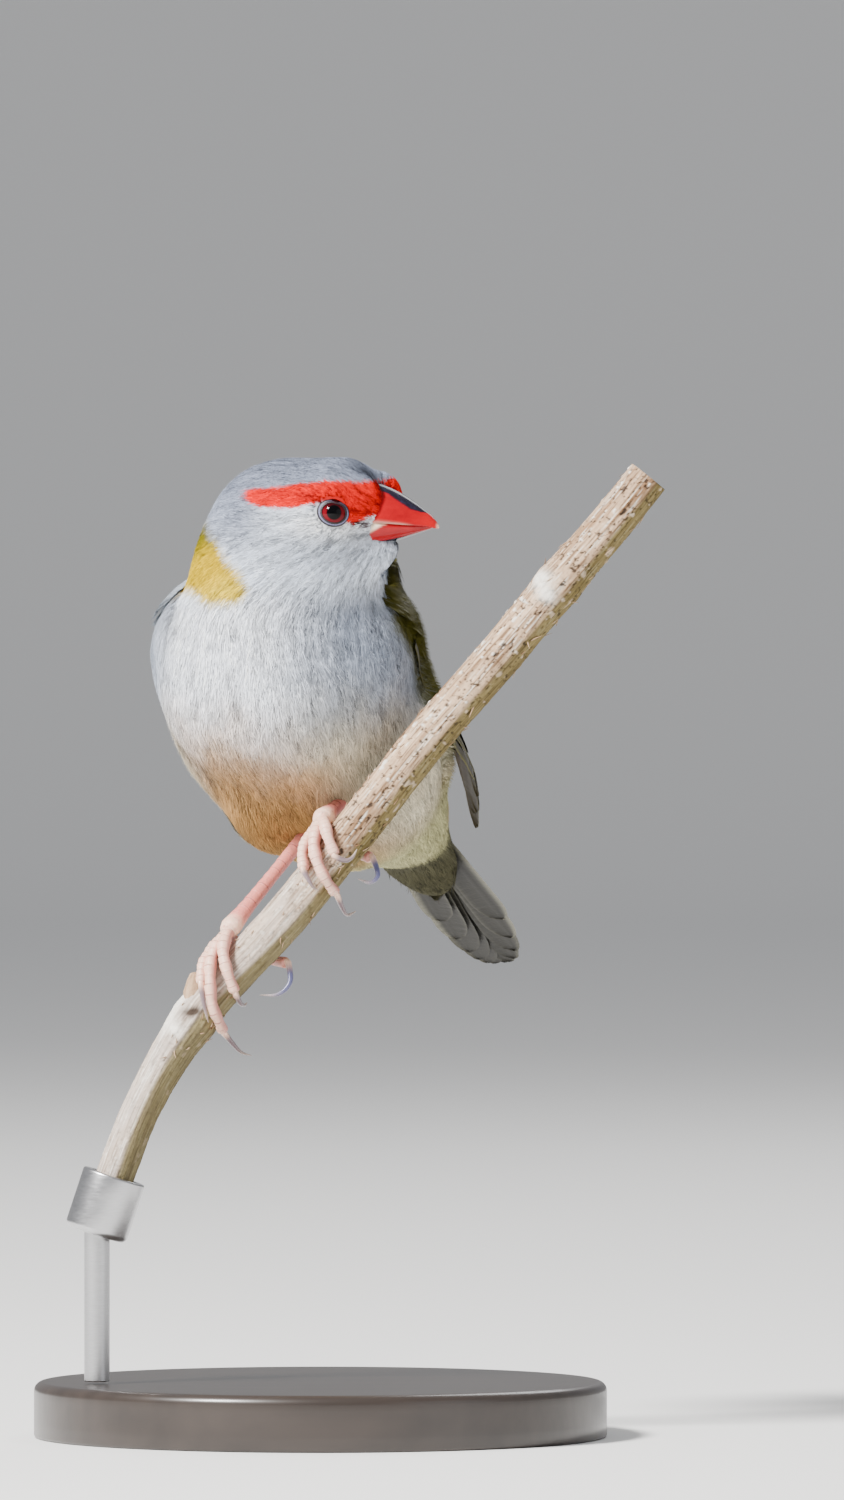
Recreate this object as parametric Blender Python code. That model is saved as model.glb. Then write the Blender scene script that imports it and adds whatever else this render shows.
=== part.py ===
# A life-size red-browed finch gripping a cut length of dry stem, held on a plain round stand.
# Lengths in this file are millimetres; only make_object turns them into metres.
# X runs to the right in the photo, Y away from the viewer and Z up, with the origin under the base.

import math

import bmesh
import bpy
import numpy as np
from mathutils import Vector

FINE_FEATHERS = True
GAP = 0.3
METRES = 0.001


# How the bird stands: its chest faces the viewer and a little to the left, its head is turned to the right.

def unit(vector):
    """The same direction with a length of one."""
    vector = np.asarray(vector, float)
    return vector / np.linalg.norm(vector)


CHEST_YAW = math.radians(25.0)
HEAD_YAW = math.radians(20.0)
BILL_DROP = math.radians(4.0)
UP = np.array([0.0, 0.0, 1.0])
FORWARD = np.array([-math.sin(CHEST_YAW), -math.cos(CHEST_YAW), 0.0])
LEFT = np.array([math.cos(CHEST_YAW), -math.sin(CHEST_YAW), 0.0])
TORSO = np.array([-3.75, 4.0, 90.0])
BILL_WAY = np.array([
    math.cos(HEAD_YAW) * math.cos(BILL_DROP),
    -math.sin(HEAD_YAW) * math.cos(BILL_DROP),
    -math.sin(BILL_DROP),
])
HEAD_SIDE = unit(np.cross(BILL_WAY, UP))
HEAD_UP = np.cross(HEAD_SIDE, BILL_WAY)
HEAD = np.array([1.25, -6.54, 115.6])


def in_torso(forward, left, up):
    """A point given by its distances forward, left and up from the middle of the torso."""
    return TORSO + forward * FORWARD + left * LEFT + up * UP


def in_head(ahead, side, up):
    """A point given by its distances along the bill, to the bird's right and up from mid head."""
    return HEAD + ahead * BILL_WAY + side * HEAD_SIDE + up * HEAD_UP


def pitched(degrees):
    """Three axes whose first one points forward and up by this angle."""
    angle = math.radians(degrees)
    along = math.cos(angle) * FORWARD + math.sin(angle) * UP
    across = -math.sin(angle) * FORWARD + math.cos(angle) * UP
    return np.array([along, LEFT, across])


HEAD_AXES = np.array([BILL_WAY, HEAD_SIDE, HEAD_UP])


def raised_head_axes(degrees):
    """The head's axes with the first one raised by this angle."""
    angle = math.radians(degrees)
    along = math.cos(angle) * BILL_WAY + math.sin(angle) * HEAD_UP
    across = -math.sin(angle) * BILL_WAY + math.cos(angle) * HEAD_UP
    return np.array([along, HEAD_SIDE, across])


# Each rounded mass of the body: centre, axes and half lengths.
MASSES = {
    "trunk": (in_torso(-4.0, 0.0, 0.9), pitched(38), (26.5, 15.9, 14.9)),
    "shoulder_right": (in_torso(2.0, -8.4, 8.6), pitched(0), (9.2, 9.2, 9.4)),
    "shoulder_left": (in_torso(2.0, 8.0, 8.6), pitched(0), (9.0, 9.0, 9.2)),
    "flank_right": (in_torso(-3.0, -9.0, 0.5), pitched(38), (12.0, 7.6, 9.0)),
    "breast": (in_torso(5.0, 0.0, 4.0), pitched(0), (13.0, 13.6, 12.6)),
    "mantle": (in_torso(-4.0, 0.0, 11.0), pitched(46), (14.0, 9.5, 7.0)),
    "rump": (in_torso(-19.0, 0.8, -6.0), pitched(35), (17.0, 9.6, 7.6)),
    "vent": (in_torso(-19.0, 0.8, -9.6), pitched(22), (17.0, 8.6, 6.6)),
    "undertail": (in_torso(-33.0, 0.4, -14.8), pitched(36), (12.5, 5.6, 3.4)),
    "uppertail": (in_torso(-28.0, 0.4, -8.0), pitched(36), (12.0, 5.0, 2.6)),
    "thigh_right": (in_torso(-1.0, -3.5, -12.0), pitched(30), (6.5, 4.4, 4.0)),
    "thigh_left": (in_torso(-3.0, 6.5, -9.5), pitched(30), (6.0, 4.2, 4.2)),
    "neck": (in_torso(5.9, 2.8, 18.0), np.eye(3), (12.4, 10.8, 12.6)),
    "skull": (in_head(-4.4, 0.0, -1.0), HEAD_AXES, (10.3, 8.2, 7.85)),
    "face": (in_head(1.4, 0.0, 0.7), HEAD_AXES, (4.7, 6.1, 6.5)),
    "lore_right": (in_head(4.0, 2.7, 2.3), HEAD_AXES, (2.2, 1.2, 3.0)),
    "lore_left": (in_head(4.2, -2.7, 2.6), HEAD_AXES, (2.3, 1.2, 3.0)),
    "throat": (in_head(3.2, 0.0, -4.7), raised_head_axes(14), (6.2, 2.3, 3.0)),
}
BLEND = 1.0


def body_distance(points):
    """Signed distance from the smooth outside of the bird, without its bill, wings and tail."""
    points = np.asarray(points, float)
    total = 0.0
    for centre, axes, half_lengths in MASSES.values():
        local = (points - centre) @ np.asarray(axes).T
        size = np.asarray(half_lengths)
        scaled = np.sqrt(((local / size) ** 2).sum(-1))
        slope = np.sqrt(((local / size ** 2) ** 2).sum(-1))
        distance = scaled * (scaled - 1.0) / np.maximum(slope, 1e-9)
        total = total + np.exp(-np.clip(distance / BLEND, -60.0, 60.0))
    return -BLEND * np.log(total)


def surface_reach(origins, ways, offset, farthest=60.0):
    """How far along each way the surface lies, moved outward by offset, from a start inside it."""
    near = np.zeros(len(origins))
    far = np.full(len(origins), farthest)
    for _ in range(40):
        middle = 0.5 * (near + far)
        outside = body_distance(origins + ways * middle[:, None]) > offset
        far = np.where(outside, middle, far)
        near = np.where(outside, near, middle)
    return 0.5 * (near + far)


# Meshes

def make_object(name, points, faces, colour, roughness=0.6):
    """One closed object of triangles with its own material; its faces are turned to point out."""
    mesh = bpy.data.meshes.new(name)
    mesh.from_pydata([tuple(METRES * value for value in point) for point in points], [], faces)
    work = bmesh.new()
    work.from_mesh(mesh)
    bmesh.ops.triangulate(work, faces=work.faces)
    bmesh.ops.recalc_face_normals(work, faces=work.faces)
    work.to_mesh(mesh)
    work.free()
    thing = bpy.data.objects.new(name, mesh)
    bpy.context.scene.collection.objects.link(thing)
    give_material(thing, name, colour, roughness)
    return thing


def give_material(thing, name, colour, roughness):
    """A plain Principled material of one colour."""
    material = bpy.data.materials.new(name)
    material.use_nodes = True
    shader = material.node_tree.nodes["Principled BSDF"]
    shader.inputs["Base Color"].default_value = (*colour, 1.0)
    shader.inputs["Roughness"].default_value = roughness
    thing.data.materials.clear()
    thing.data.materials.append(material)


def joined_rings(rings, start_point=None, end_point=None):
    """Points and faces of a closed skin through rings of equal count, with poles or flat ends."""
    count = len(rings[0])
    points = [point for ring in rings for point in ring]
    faces = []
    for level in range(len(rings) - 1):
        for step in range(count):
            after = (step + 1) % count
            low = level * count
            high = low + count
            faces.append((low + step, low + after, high + after, high + step))
    for ring_start, pole, turn in ((0, start_point, True), (len(points) - count, end_point, False)):
        ring = [ring_start + step for step in range(count)]
        if turn:
            ring.reverse()
        if pole is None:
            faces.append(tuple(ring))
        else:
            points.append(pole)
            tip = len(points) - 1
            for step in range(count):
                faces.append((ring[step], ring[(step + 1) % count], tip))
    return points, faces


def smooth_path(knots, steps):
    """Points along a smooth curve through the knots, evenly spread in length."""
    knots = np.asarray(knots, float)
    padded = np.vstack([2 * knots[0] - knots[1], knots, 2 * knots[-1] - knots[-2]])
    dense = []
    for index in range(len(knots) - 1):
        before, first, second, after = padded[index:index + 4]
        for share in np.linspace(0.0, 1.0, 24, endpoint=False):
            dense.append(0.5 * (
                2 * first + (second - before) * share
                + (2 * before - 5 * first + 4 * second - after) * share ** 2
                + (3 * first - before - 3 * second + after) * share ** 3
            ))
    dense.append(knots[-1])
    dense = np.array(dense)
    lengths = np.concatenate([[0.0], np.cumsum(np.linalg.norm(np.diff(dense, axis=0), axis=1))])
    wanted = np.linspace(0.0, lengths[-1], steps)
    return np.stack([np.interp(wanted, lengths, dense[:, axis]) for axis in range(3)], axis=1)


def path_frames(path):
    """The direction at each point of a path and two directions across it that never twist."""
    ways = np.gradient(path, axis=0)
    ways = ways / np.linalg.norm(ways, axis=1)[:, None]
    guess = np.array([0.0, 1.0, 0.0]) if abs(ways[0][1]) < 0.8 else np.array([1.0, 0.0, 0.0])
    firsts = []
    for way in ways:
        guess = unit(guess - way * np.dot(guess, way))
        firsts.append(guess)
    firsts = np.array(firsts)
    return ways, firsts, np.cross(ways, firsts)


def tube_rings(path, radii, sides):
    """Rings of a round tube along a path."""
    _, firsts, seconds = path_frames(path)
    angles = np.linspace(0.0, 2 * math.pi, sides, endpoint=False)
    rings = []
    for centre, first, second, radius in zip(path, firsts, seconds, radii):
        rings.append([
            centre + radius * (math.cos(angle) * first + math.sin(angle) * second)
            for angle in angles
        ])
    return rings


def ball(centre, half_lengths, axes, around, levels):
    """Points and faces of an ellipsoid whose poles lie on its third axis."""
    rings = []
    for level in range(1, levels):
        tilt = math.pi * level / levels - math.pi / 2
        ring = []
        for step in range(around):
            turn = 2 * math.pi * step / around
            local = (math.cos(tilt) * math.cos(turn), math.cos(tilt) * math.sin(turn), math.sin(tilt))
            ring.append(centre + sum(local[k] * half_lengths[k] * axes[k] for k in range(3)))
        rings.append(ring)
    low = centre - half_lengths[2] * axes[2]
    high = centre + half_lengths[2] * axes[2]
    return joined_rings(rings, low, high)


def keep_largest(thing):
    """Leaves only the largest closed surface of an object."""
    work = bmesh.new()
    work.from_mesh(thing.data)
    left = set(work.faces)
    groups = []
    while left:
        group = [left.pop()]
        for face in group:
            for edge in face.edges:
                for other in edge.link_faces:
                    if other in left:
                        left.remove(other)
                        group.append(other)
        groups.append(group)
    groups.sort(key=len, reverse=True)
    for group in groups[1:]:
        bmesh.ops.delete(work, geom=group, context="FACES")
    work.to_mesh(thing.data)
    work.free()


def apply_boolean(thing, others, operation, solver="EXACT"):
    """Adds or takes away closed objects, then removes them."""
    group = bpy.data.collections.new("cutters")
    bpy.context.scene.collection.children.link(group)
    for other in others:
        other.hide_render = True
        other.display_type = "WIRE"
        bpy.context.scene.collection.objects.unlink(other)
        group.objects.link(other)
    change = thing.modifiers.new("change", "BOOLEAN")
    change.operation = operation
    change.solver = solver
    change.operand_type = "COLLECTION"
    change.collection = group
    result = bpy.data.meshes.new_from_object(
        thing.evaluated_get(bpy.context.evaluated_depsgraph_get())
    )
    thing.modifiers.clear()
    material = thing.data.materials[0]
    thing.data = result
    result.materials.clear()
    result.materials.append(material)
    for polygon in result.polygons:
        polygon.material_index = 0
    for other in others:
        bpy.data.objects.remove(other)
    bpy.data.collections.remove(group)
    tidy_mesh(thing)
    keep_largest(thing)


def tidy_mesh(thing):
    """Cuts the faces into triangles and joins points that fall together where that keeps the skin closed."""
    for distance in (0.000004, 0.000001, 0.0):
        work = bmesh.new()
        work.from_mesh(thing.data)
        bmesh.ops.triangulate(work, faces=work.faces)
        if distance:
            bmesh.ops.remove_doubles(work, verts=work.verts, dist=distance)
        closed = all(len(edge.link_faces) == 2 for edge in work.edges)
        if closed or not distance:
            bmesh.ops.recalc_face_normals(work, faces=work.faces)
            work.to_mesh(thing.data)
            work.free()
            return
        work.free()


# The body: one run of rings from the tail end over the back and breast to the crown, parted by thin cuts.

AROUND = 36
SPINE_PITCH = 38.0
SPINE_MIDDLE = (-4.0, 0.9)
PIVOT = (-21.0, 17.0)
REAR_END = -44.0
REAR_LIFT = 5.4
TAIL_CUT = -19.5
NECK_CUT_PITCH = 84.0
HEAD_CUT_HEIGHT = 110.0
NECK_AXIS = np.array([-3.4, -2.6])


def torso_ring(step_back):
    """Centre and two directions of a ring that lies this far along the torso, forward positive."""
    along, left, across = pitched(SPINE_PITCH)
    centre = in_torso(SPINE_MIDDLE[0], 0.0, SPINE_MIDDLE[1]) + step_back * along
    lift = REAR_LIFT * float(np.clip((-step_back - 6.0) / 30.0, 0.0, 1.1))
    return centre + lift * across, left, across


def fan_ring(pitch):
    """A ring of the bend from torso to neck: its plane runs through a line behind the nape."""
    along, left, across = pitched(pitch)
    share = (pitch - SPINE_PITCH) / (90.0 - SPINE_PITCH)
    pivot = in_torso(PIVOT[0], 0.0, PIVOT[1])
    reach_start = np.dot(in_torso(SPINE_MIDDLE[0], 0.0, SPINE_MIDDLE[1]) - pivot, -pitched(SPINE_PITCH)[2])
    neck_point = np.array([NECK_AXIS[0], NECK_AXIS[1], pivot[2]])
    reach_end = np.dot(neck_point - pivot, FORWARD)
    side_end = np.dot(neck_point - pivot, LEFT)
    eased = share * share * (3.0 - 2.0 * share)
    reach = reach_start + (reach_end - reach_start) * eased
    centre = pivot - across * reach + left * side_end * eased
    return centre, left, across


def neck_ring(height):
    """A level ring of the neck or head."""
    crown_share = np.clip((height - 107.0) / 14.0, 0.0, 1.0)
    skull = MASSES["skull"][0]
    middle = np.array([NECK_AXIS[0], NECK_AXIS[1]]) * (1 - crown_share) + skull[:2] * crown_share
    return np.array([middle[0], middle[1], height]), LEFT, -FORWARD


def ring_points(centre, first, second, offset=0.0):
    """The outline of the body in the plane of a ring."""
    angles = np.linspace(0.0, 2 * math.pi, AROUND, endpoint=False)
    ways = np.outer(np.cos(angles), first) + np.outer(np.sin(angles), second)
    origins = np.repeat(centre[None], AROUND, axis=0)
    reach = surface_reach(origins, ways, offset)
    return origins + ways * reach[:, None]


def pole_point(centre, way):
    """Where the surface ends along a way."""
    reach = surface_reach(centre[None], way[None], 0.0)
    return centre + way * reach[0]


def build_torso():
    """The torso from the tail cut to the neck cut."""
    half = GAP / 2
    backs = np.linspace(TAIL_CUT + half, 0.0, 9)
    pitches = np.linspace(SPINE_PITCH, NECK_CUT_PITCH, 12)[1:]
    rings = [ring_points(*torso_ring(back)) for back in backs]
    rings += [ring_points(*fan_ring(pitch)) for pitch in pitches]
    return make_object("torso", *joined_rings(rings), (0.62, 0.60, 0.55))


def build_neck():
    """The neck, from a slanted cut over the shoulders to a level cut under the chin."""
    reach_to_nape = 14.0
    first_pitch = NECK_CUT_PITCH + math.degrees(GAP / reach_to_nape)
    rings = [ring_points(*fan_ring(pitch)) for pitch in np.linspace(first_pitch, 89.0, 3)]
    base = in_torso(PIVOT[0], 0.0, PIVOT[1])[2]
    for height in np.linspace(base + 0.6, HEAD_CUT_HEIGHT - GAP / 2, 3):
        rings.append(ring_points(*neck_ring(height)))
    return make_object("neck", *joined_rings(rings), (0.66, 0.67, 0.66))


EYE_RADIUS = 1.9
EYE_AHEAD = 2.6
EYE_UP = 0.6
EYE_RISE = 0.75


def eye_place(side):
    """Centre of an eyeball and the way it looks, on the bird's right (1) or left (-1)."""
    start = in_head(EYE_AHEAD, 0.0, EYE_UP)
    way = side * HEAD_SIDE
    reach = surface_reach(start[None], way[None], 0.0)[0]
    on_skin = start + reach * way
    step = 0.4
    slope = np.array([
        body_distance((on_skin + step * axis)[None])[0] - body_distance((on_skin - step * axis)[None])[0]
        for axis in np.eye(3)
    ])
    outward = unit(slope)
    return on_skin + outward * (EYE_RISE - EYE_RADIUS), outward


def axes_around(way):
    """Three axes of which the last is the given way."""
    first = unit(np.cross(UP, way))
    return [first, np.cross(way, first), way]


def build_eye(name, side):
    """One eyeball."""
    centre, outward = eye_place(side)
    points, faces = ball(centre, (EYE_RADIUS,) * 3, axes_around(outward), 14, 8)
    return make_object(name, points, faces, (0.12, 0.02, 0.02), 0.15)


LID_RADIUS = 1.62
LID_THICKNESS = 0.42
LID_STEPS = 14


def eyelid(side):
    """A raised ring of bare skin round one eye."""
    centre, outward = eye_place(side)
    first, second, _ = axes_around(outward)
    middle = centre + outward * (EYE_RADIUS - EYE_RISE + 0.12)
    rings = []
    for step in range(LID_STEPS):
        turn = 2 * math.pi * step / LID_STEPS
        way = math.cos(turn) * first * 1.06 + math.sin(turn) * second * 0.94
        ring = []
        for part in range(5):
            bend = 2 * math.pi * part / 5
            ring.append(
                middle + way * (LID_RADIUS + LID_THICKNESS * math.cos(bend))
                + outward * LID_THICKNESS * math.sin(bend)
            )
        rings.append(ring)
    points = [point for ring in rings for point in ring]
    faces = []
    for step in range(LID_STEPS):
        for part in range(5):
            here = step * 5
            there = (step + 1) % LID_STEPS * 5
            after = (part + 1) % 5
            faces.append((here + part, here + after, there + after, there + part))
    return make_object("eyelid", points, faces, (0.5, 0.5, 0.5))


def build_head():
    """The head down to the level cut, with eyelids and sockets."""
    skull = MASSES["skull"][0]
    crown = pole_point(skull, UP)
    heights = [HEAD_CUT_HEIGHT + GAP / 2]
    top = crown[2] - 0.35
    for share in np.linspace(0.0, 1.0, 10)[1:]:
        heights.append(heights[0] + (top - heights[0]) * math.sin(share * math.pi / 2))
    rings = [ring_points(*neck_ring(height)) for height in heights]
    head = make_object("head", *joined_rings(rings, None, crown), (0.45, 0.47, 0.48))
    apply_boolean(head, [eyelid(1), eyelid(-1)], "UNION")
    cutters = []
    for side in (1, -1):
        centre, outward = eye_place(side)
        points, faces = ball(centre, (EYE_RADIUS + GAP + 0.03,) * 3, axes_around(outward), 14, 8)
        cutters.append(make_object("socket", points, faces, (0.1, 0.1, 0.1)))
    apply_boolean(head, cutters, "DIFFERENCE")
    return head


# The bill: two cones whose rear faces follow the face, parted by the line of the mouth.

BILL_BASE = 6.0
BILL_TIP = 14.6
CULMEN_HEIGHT = 4.45
GONYS_DEPTH = -3.6
GAPE_HEIGHT = -0.35
TIP_HEIGHT = -0.1
BILL_HALF_WIDTH = 3.55


def bill_outline(share):
    """Heights of culmen, mouth line and gonys and the half width, from base (0) to tip (1)."""
    taper = 1.0 - share
    full = 1.0 - share ** 1.45
    mouth = GAPE_HEIGHT + (TIP_HEIGHT - 0.25 - GAPE_HEIGHT) * share
    culmen = TIP_HEIGHT + 0.1 + (CULMEN_HEIGHT - TIP_HEIGHT - 0.1) * full
    gonys = mouth - 0.3 + (GONYS_DEPTH - GAPE_HEIGHT + 0.3) * (0.8 * taper + 0.2 * full)
    half_width = 0.32 + (BILL_HALF_WIDTH - 0.32) * (0.55 * taper + 0.45 * full)
    return culmen, mouth, gonys, half_width


def bill_section(share, upper):
    """Side and height of each point of a section through one half of the bill."""
    culmen, mouth, gonys, half_width = bill_outline(share)
    count = 8
    section = []
    for step in range(count + 1):
        turn = math.pi * step / count
        side = half_width * math.cos(turn)
        rise = math.sin(turn) ** (0.9 if upper else 0.62)
        if upper:
            section.append((side, mouth + GAP / 2 + (culmen - mouth - GAP / 2) * rise))
        else:
            section.append((side * 0.97, mouth - GAP / 2 - (mouth - GAP / 2 - gonys) * rise))
    section.insert(0, (half_width * 0.5, mouth + GAP / 2 if upper else mouth - GAP / 2))
    section.append((-half_width * 0.5, mouth + GAP / 2 if upper else mouth - GAP / 2))
    return section


def bill_ring(ahead, upper, clearance):
    """A ring of one half of the bill, moved ahead wherever the face would be in its way."""
    places = [ahead] * len(bill_section(0.0, upper))
    for _ in range(4):
        shares = [(place - BILL_BASE) / (BILL_TIP - BILL_BASE) for place in places]
        section = [bill_section(max(0.0, share), upper)[index] for index, share in enumerate(shares)]
        places = [max(ahead, follow_face(side, height) + clearance) for side, height in section]
    return [in_head(place, side, height) for place, (side, height) in zip(places, section)]


def build_bill(name, upper, colour):
    """One half of the bill."""
    rings = [bill_ring(BILL_BASE - 4.0, upper, 0.0)]
    for step, share in enumerate((0.05, 0.2, 0.36, 0.52, 0.68, 0.82, 0.93)):
        rings.append(bill_ring(BILL_BASE + (BILL_TIP - BILL_BASE) * share, upper, 0.35 + 0.25 * step))
    culmen, mouth, gonys, _ = bill_outline(1.0)
    tip_height = 0.5 * (culmen + mouth) - 0.1 if upper else 0.5 * (mouth + gonys)
    tip = in_head(BILL_TIP if upper else BILL_TIP - 0.7, 0.0, tip_height)
    sides, heights = np.array(bill_section(0.0, upper)).T
    middle_height = float(np.mean(heights))
    middle = in_head(follow_face(0.0, middle_height) + 0.15, 0.0, middle_height)
    points, faces = joined_rings(rings, middle, tip)
    bill = make_object(name, points, faces, colour, 0.3)
    if upper:
        pits = []
        for side in (1, -1):
            place = in_head(8.1, side * 2.1, 2.35)
            pit_points, pit_faces = ball(place, (0.75, 0.5, 0.4), list(HEAD_AXES), 6, 4)
            pits.append(make_object("nostril", pit_points, pit_faces, (0.1, 0.1, 0.1)))
        apply_boolean(bill, pits, "DIFFERENCE")
    return bill


def follow_face(side, height):
    """How far ahead the face lies, one gap out, at this place across the bill's base."""
    inside = 1.0
    if body_distance(in_head(0.0, side, height)[None])[0] > -0.3:
        inside = 0.85
    origin = in_head(0.0, side * inside, height * inside)
    reach = surface_reach(origin[None], BILL_WAY[None], GAP + 0.1, 12.0)
    return float(reach[0])


# The wings lie along the sides of the body: s runs from the wrist to the wing tip, turn up from the side.

WING_LENGTH = 53.2
WING_START = 6.5
WRIST_BACK = -14.35
WING_LINE = (-0.87, 1.34)
WING_WAY = (-0.838, -0.546)
WING_RADIUS_AT = (0.0, 10.0, 20.0, 33.0, 40.0, 47.6, 53.2)
WING_RADII = (16.8, 17.7, 17.9, 17.1, 16.3, 14.4, 12.6)
WING_LOW_TURN = {0.0: 30.0, 8.0: 26.0, 18.0: 18.0, 28.0: 14.0, 38.0: 20.0, 46.0: 30.0, 53.2: 38.0}
WING_HIGH_TURN = {0.0: 40.0, 6.0: 62.0, 16.0: 76.0, 33.0: 78.0, 38.0: 62.0, 46.0: 52.0, 53.2: 45.0}
DROOP = {0.0: 2.0, 9.0: 5.0, 15.0: 20.0, 28.0: 36.0, 38.0: 38.0, 53.2: 28.0}


def eased_table(table, where):
    """A value read from a small table with straight runs between its entries."""
    return float(np.interp(where, list(table.keys()), list(table.values())))


def wing_line_point(s, side):
    """The point on the torso's middle line beside this place of a wing, and its cross axes."""
    along = WING_WAY[0] * FORWARD + WING_WAY[1] * UP
    across = WING_WAY[1] * FORWARD - WING_WAY[0] * UP
    start = in_torso(WING_LINE[0], 0.0, WING_LINE[1])
    return start + (s + WRIST_BACK) * along, -side * LEFT, across


WING_GRID_S = np.linspace(-4.0, 56.0, 31)
WING_GRID_TURN = np.linspace(-40.0, 100.0, 36)


def body_reach_grid(side):
    """How far the body reaches from its middle line, over a grid of places beside one wing."""
    rows = []
    for s in WING_GRID_S:
        centre, lateral, across = wing_line_point(s, side)
        if body_distance(centre[None])[0] > -0.5:
            rows.append(np.zeros(len(WING_GRID_TURN)))
            continue
        angles = np.radians(WING_GRID_TURN)
        ways = np.outer(np.cos(angles), lateral) + np.outer(np.sin(angles), across)
        rows.append(surface_reach(np.repeat(centre[None], len(angles), axis=0), ways, 0.0))
    return np.array(rows)


BODY_REACH = {side: body_reach_grid(side) for side in (1, -1)}


def body_reach(s, turn, side):
    """The body's reach at one place, read smoothly from the grid."""
    row = np.clip((s - WING_GRID_S[0]) / (WING_GRID_S[1] - WING_GRID_S[0]), 0.0, len(WING_GRID_S) - 1.001)
    column = (turn - WING_GRID_TURN[0]) / (WING_GRID_TURN[1] - WING_GRID_TURN[0])
    column = np.clip(column, 0.0, len(WING_GRID_TURN) - 1.001)
    low_row, low_column = int(row), int(column)
    block = BODY_REACH[side][low_row:low_row + 2, low_column:low_column + 2]
    along = np.array([1.0 - (row - low_row), row - low_row])
    up = np.array([1.0 - (column - low_column), column - low_column])
    return float(along @ block @ up)


def wing_point(s, turn, lift, side):
    """A point of a wing: along it, up round the body in degrees, and out from its inner face."""
    centre, lateral, across = wing_line_point(s, side)
    drooped = turn
    if side == 1:
        low, high = eased_table(WING_LOW_TURN, s), eased_table(WING_HIGH_TURN, s)
        hang = 1.0 - 0.6 * float(np.clip((turn - low) / (high - low), 0.0, 1.0))
        drooped = turn - eased_table(DROOP, s) * hang
    angle = math.radians(drooped)
    way = math.cos(angle) * lateral + math.sin(angle) * across
    body = body_reach(s, drooped, side)
    free = float(np.interp(s, WING_RADIUS_AT, WING_RADII)) * (1.0 - 0.05 * ((turn - 25.0) / 45.0) ** 2) - 1.5
    clear = 0.5 + 0.09 * max(0.0, 10.0 - s)
    inner = body + clear + max(0.0, free - body - clear) * float(np.clip((s - 12.0) / 22.0, 0.0, 1.0))
    return centre + way * (inner + lift)


def wing_slab(name, side, length, thickness):
    """A closed slab over the wing's whole outline down to this length."""
    stations = np.linspace(WING_START, length, 12)
    shares = np.linspace(0.0, 1.0, 8)
    rings = []
    for s in stations:
        low = eased_table(WING_LOW_TURN, s)
        high = eased_table(WING_HIGH_TURN, s)
        if s == WING_START:
            low, high = low + 4.0, high - 6.0
        turns = low + (high - low) * shares
        thick = thickness * (0.7 if s == WING_START else 1.0)
        outer = [wing_point(s, turn, thick, side) for turn in turns]
        inner = [wing_point(s, turn, 0.0, side) for turn in turns[::-1]]
        rings.append(outer + inner)
    points, faces = joined_rings(rings)
    faces = faces[:-2]
    count = len(rings[0])
    for start in (0, len(points) - count):
        for step in range(count // 2 - 1):
            faces.append((start + step, start + step + 1, start + count - 2 - step, start + count - 1 - step))
    return make_object(name, points, faces, (0.42, 0.42, 0.16))


VANE_SHARES = (0.0, 0.4, 0.76, 0.93, 1.0)
COVERT_SHARES = (0.0, 0.6, 0.9, 1.0)
SHINGLE_TILT = 0.2


def vane_width(share, roundness):
    """Relative width of a vane from root to tip."""
    root = 0.55 + 0.45 * min(1.0, share / 0.4)
    tip = math.sqrt(max(0.0, 1.0 - max(0.0, (share - roundness) / (1.0 - roundness)) ** 2))
    return root * max(tip, 0.16)


def wing_vane(name, side, feather):
    """One closed vane laid on a wing. A feather: root (s, turn), tip (s, turn), width, lifts, roundness."""
    (s0, turn0), (s1, turn1), width, lift_root, lift_tip, roundness = feather
    rings = []
    shares = COVERT_SHARES if s1 - s0 < 15.0 else VANE_SHARES
    for share in shares:
        s = s0 + (s1 - s0) * share
        turn = turn0 + (turn1 - turn0) * share
        lift = lift_root + (lift_tip - lift_root) * share
        radius = float(np.interp(s, WING_RADIUS_AT, WING_RADII))
        along = s1 - s0
        sweep = radius * math.radians(turn1 - turn0)
        length = math.hypot(along, sweep)
        half = 0.5 * width * vane_width(share, roundness)
        step_s = -half * sweep / length
        step_turn = math.degrees(half * along / length / radius)
        thick = 0.55 if share < 0.97 else 0.4
        low = (s - step_s, turn - step_turn)
        high = (s + step_s, turn + step_turn)
        tilt = SHINGLE_TILT * vane_width(share, roundness)
        rings.append([
            wing_point(low[0], low[1], max(0.0, lift + tilt), side),
            wing_point(high[0], high[1], max(0.0, lift - tilt), side),
            wing_point(high[0], high[1], max(0.0, lift - tilt) + thick, side),
            wing_point(low[0], low[1], max(0.0, lift + tilt) + thick, side),
        ])
    return make_object(name, *joined_rings(rings), (0.42, 0.42, 0.16))


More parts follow.
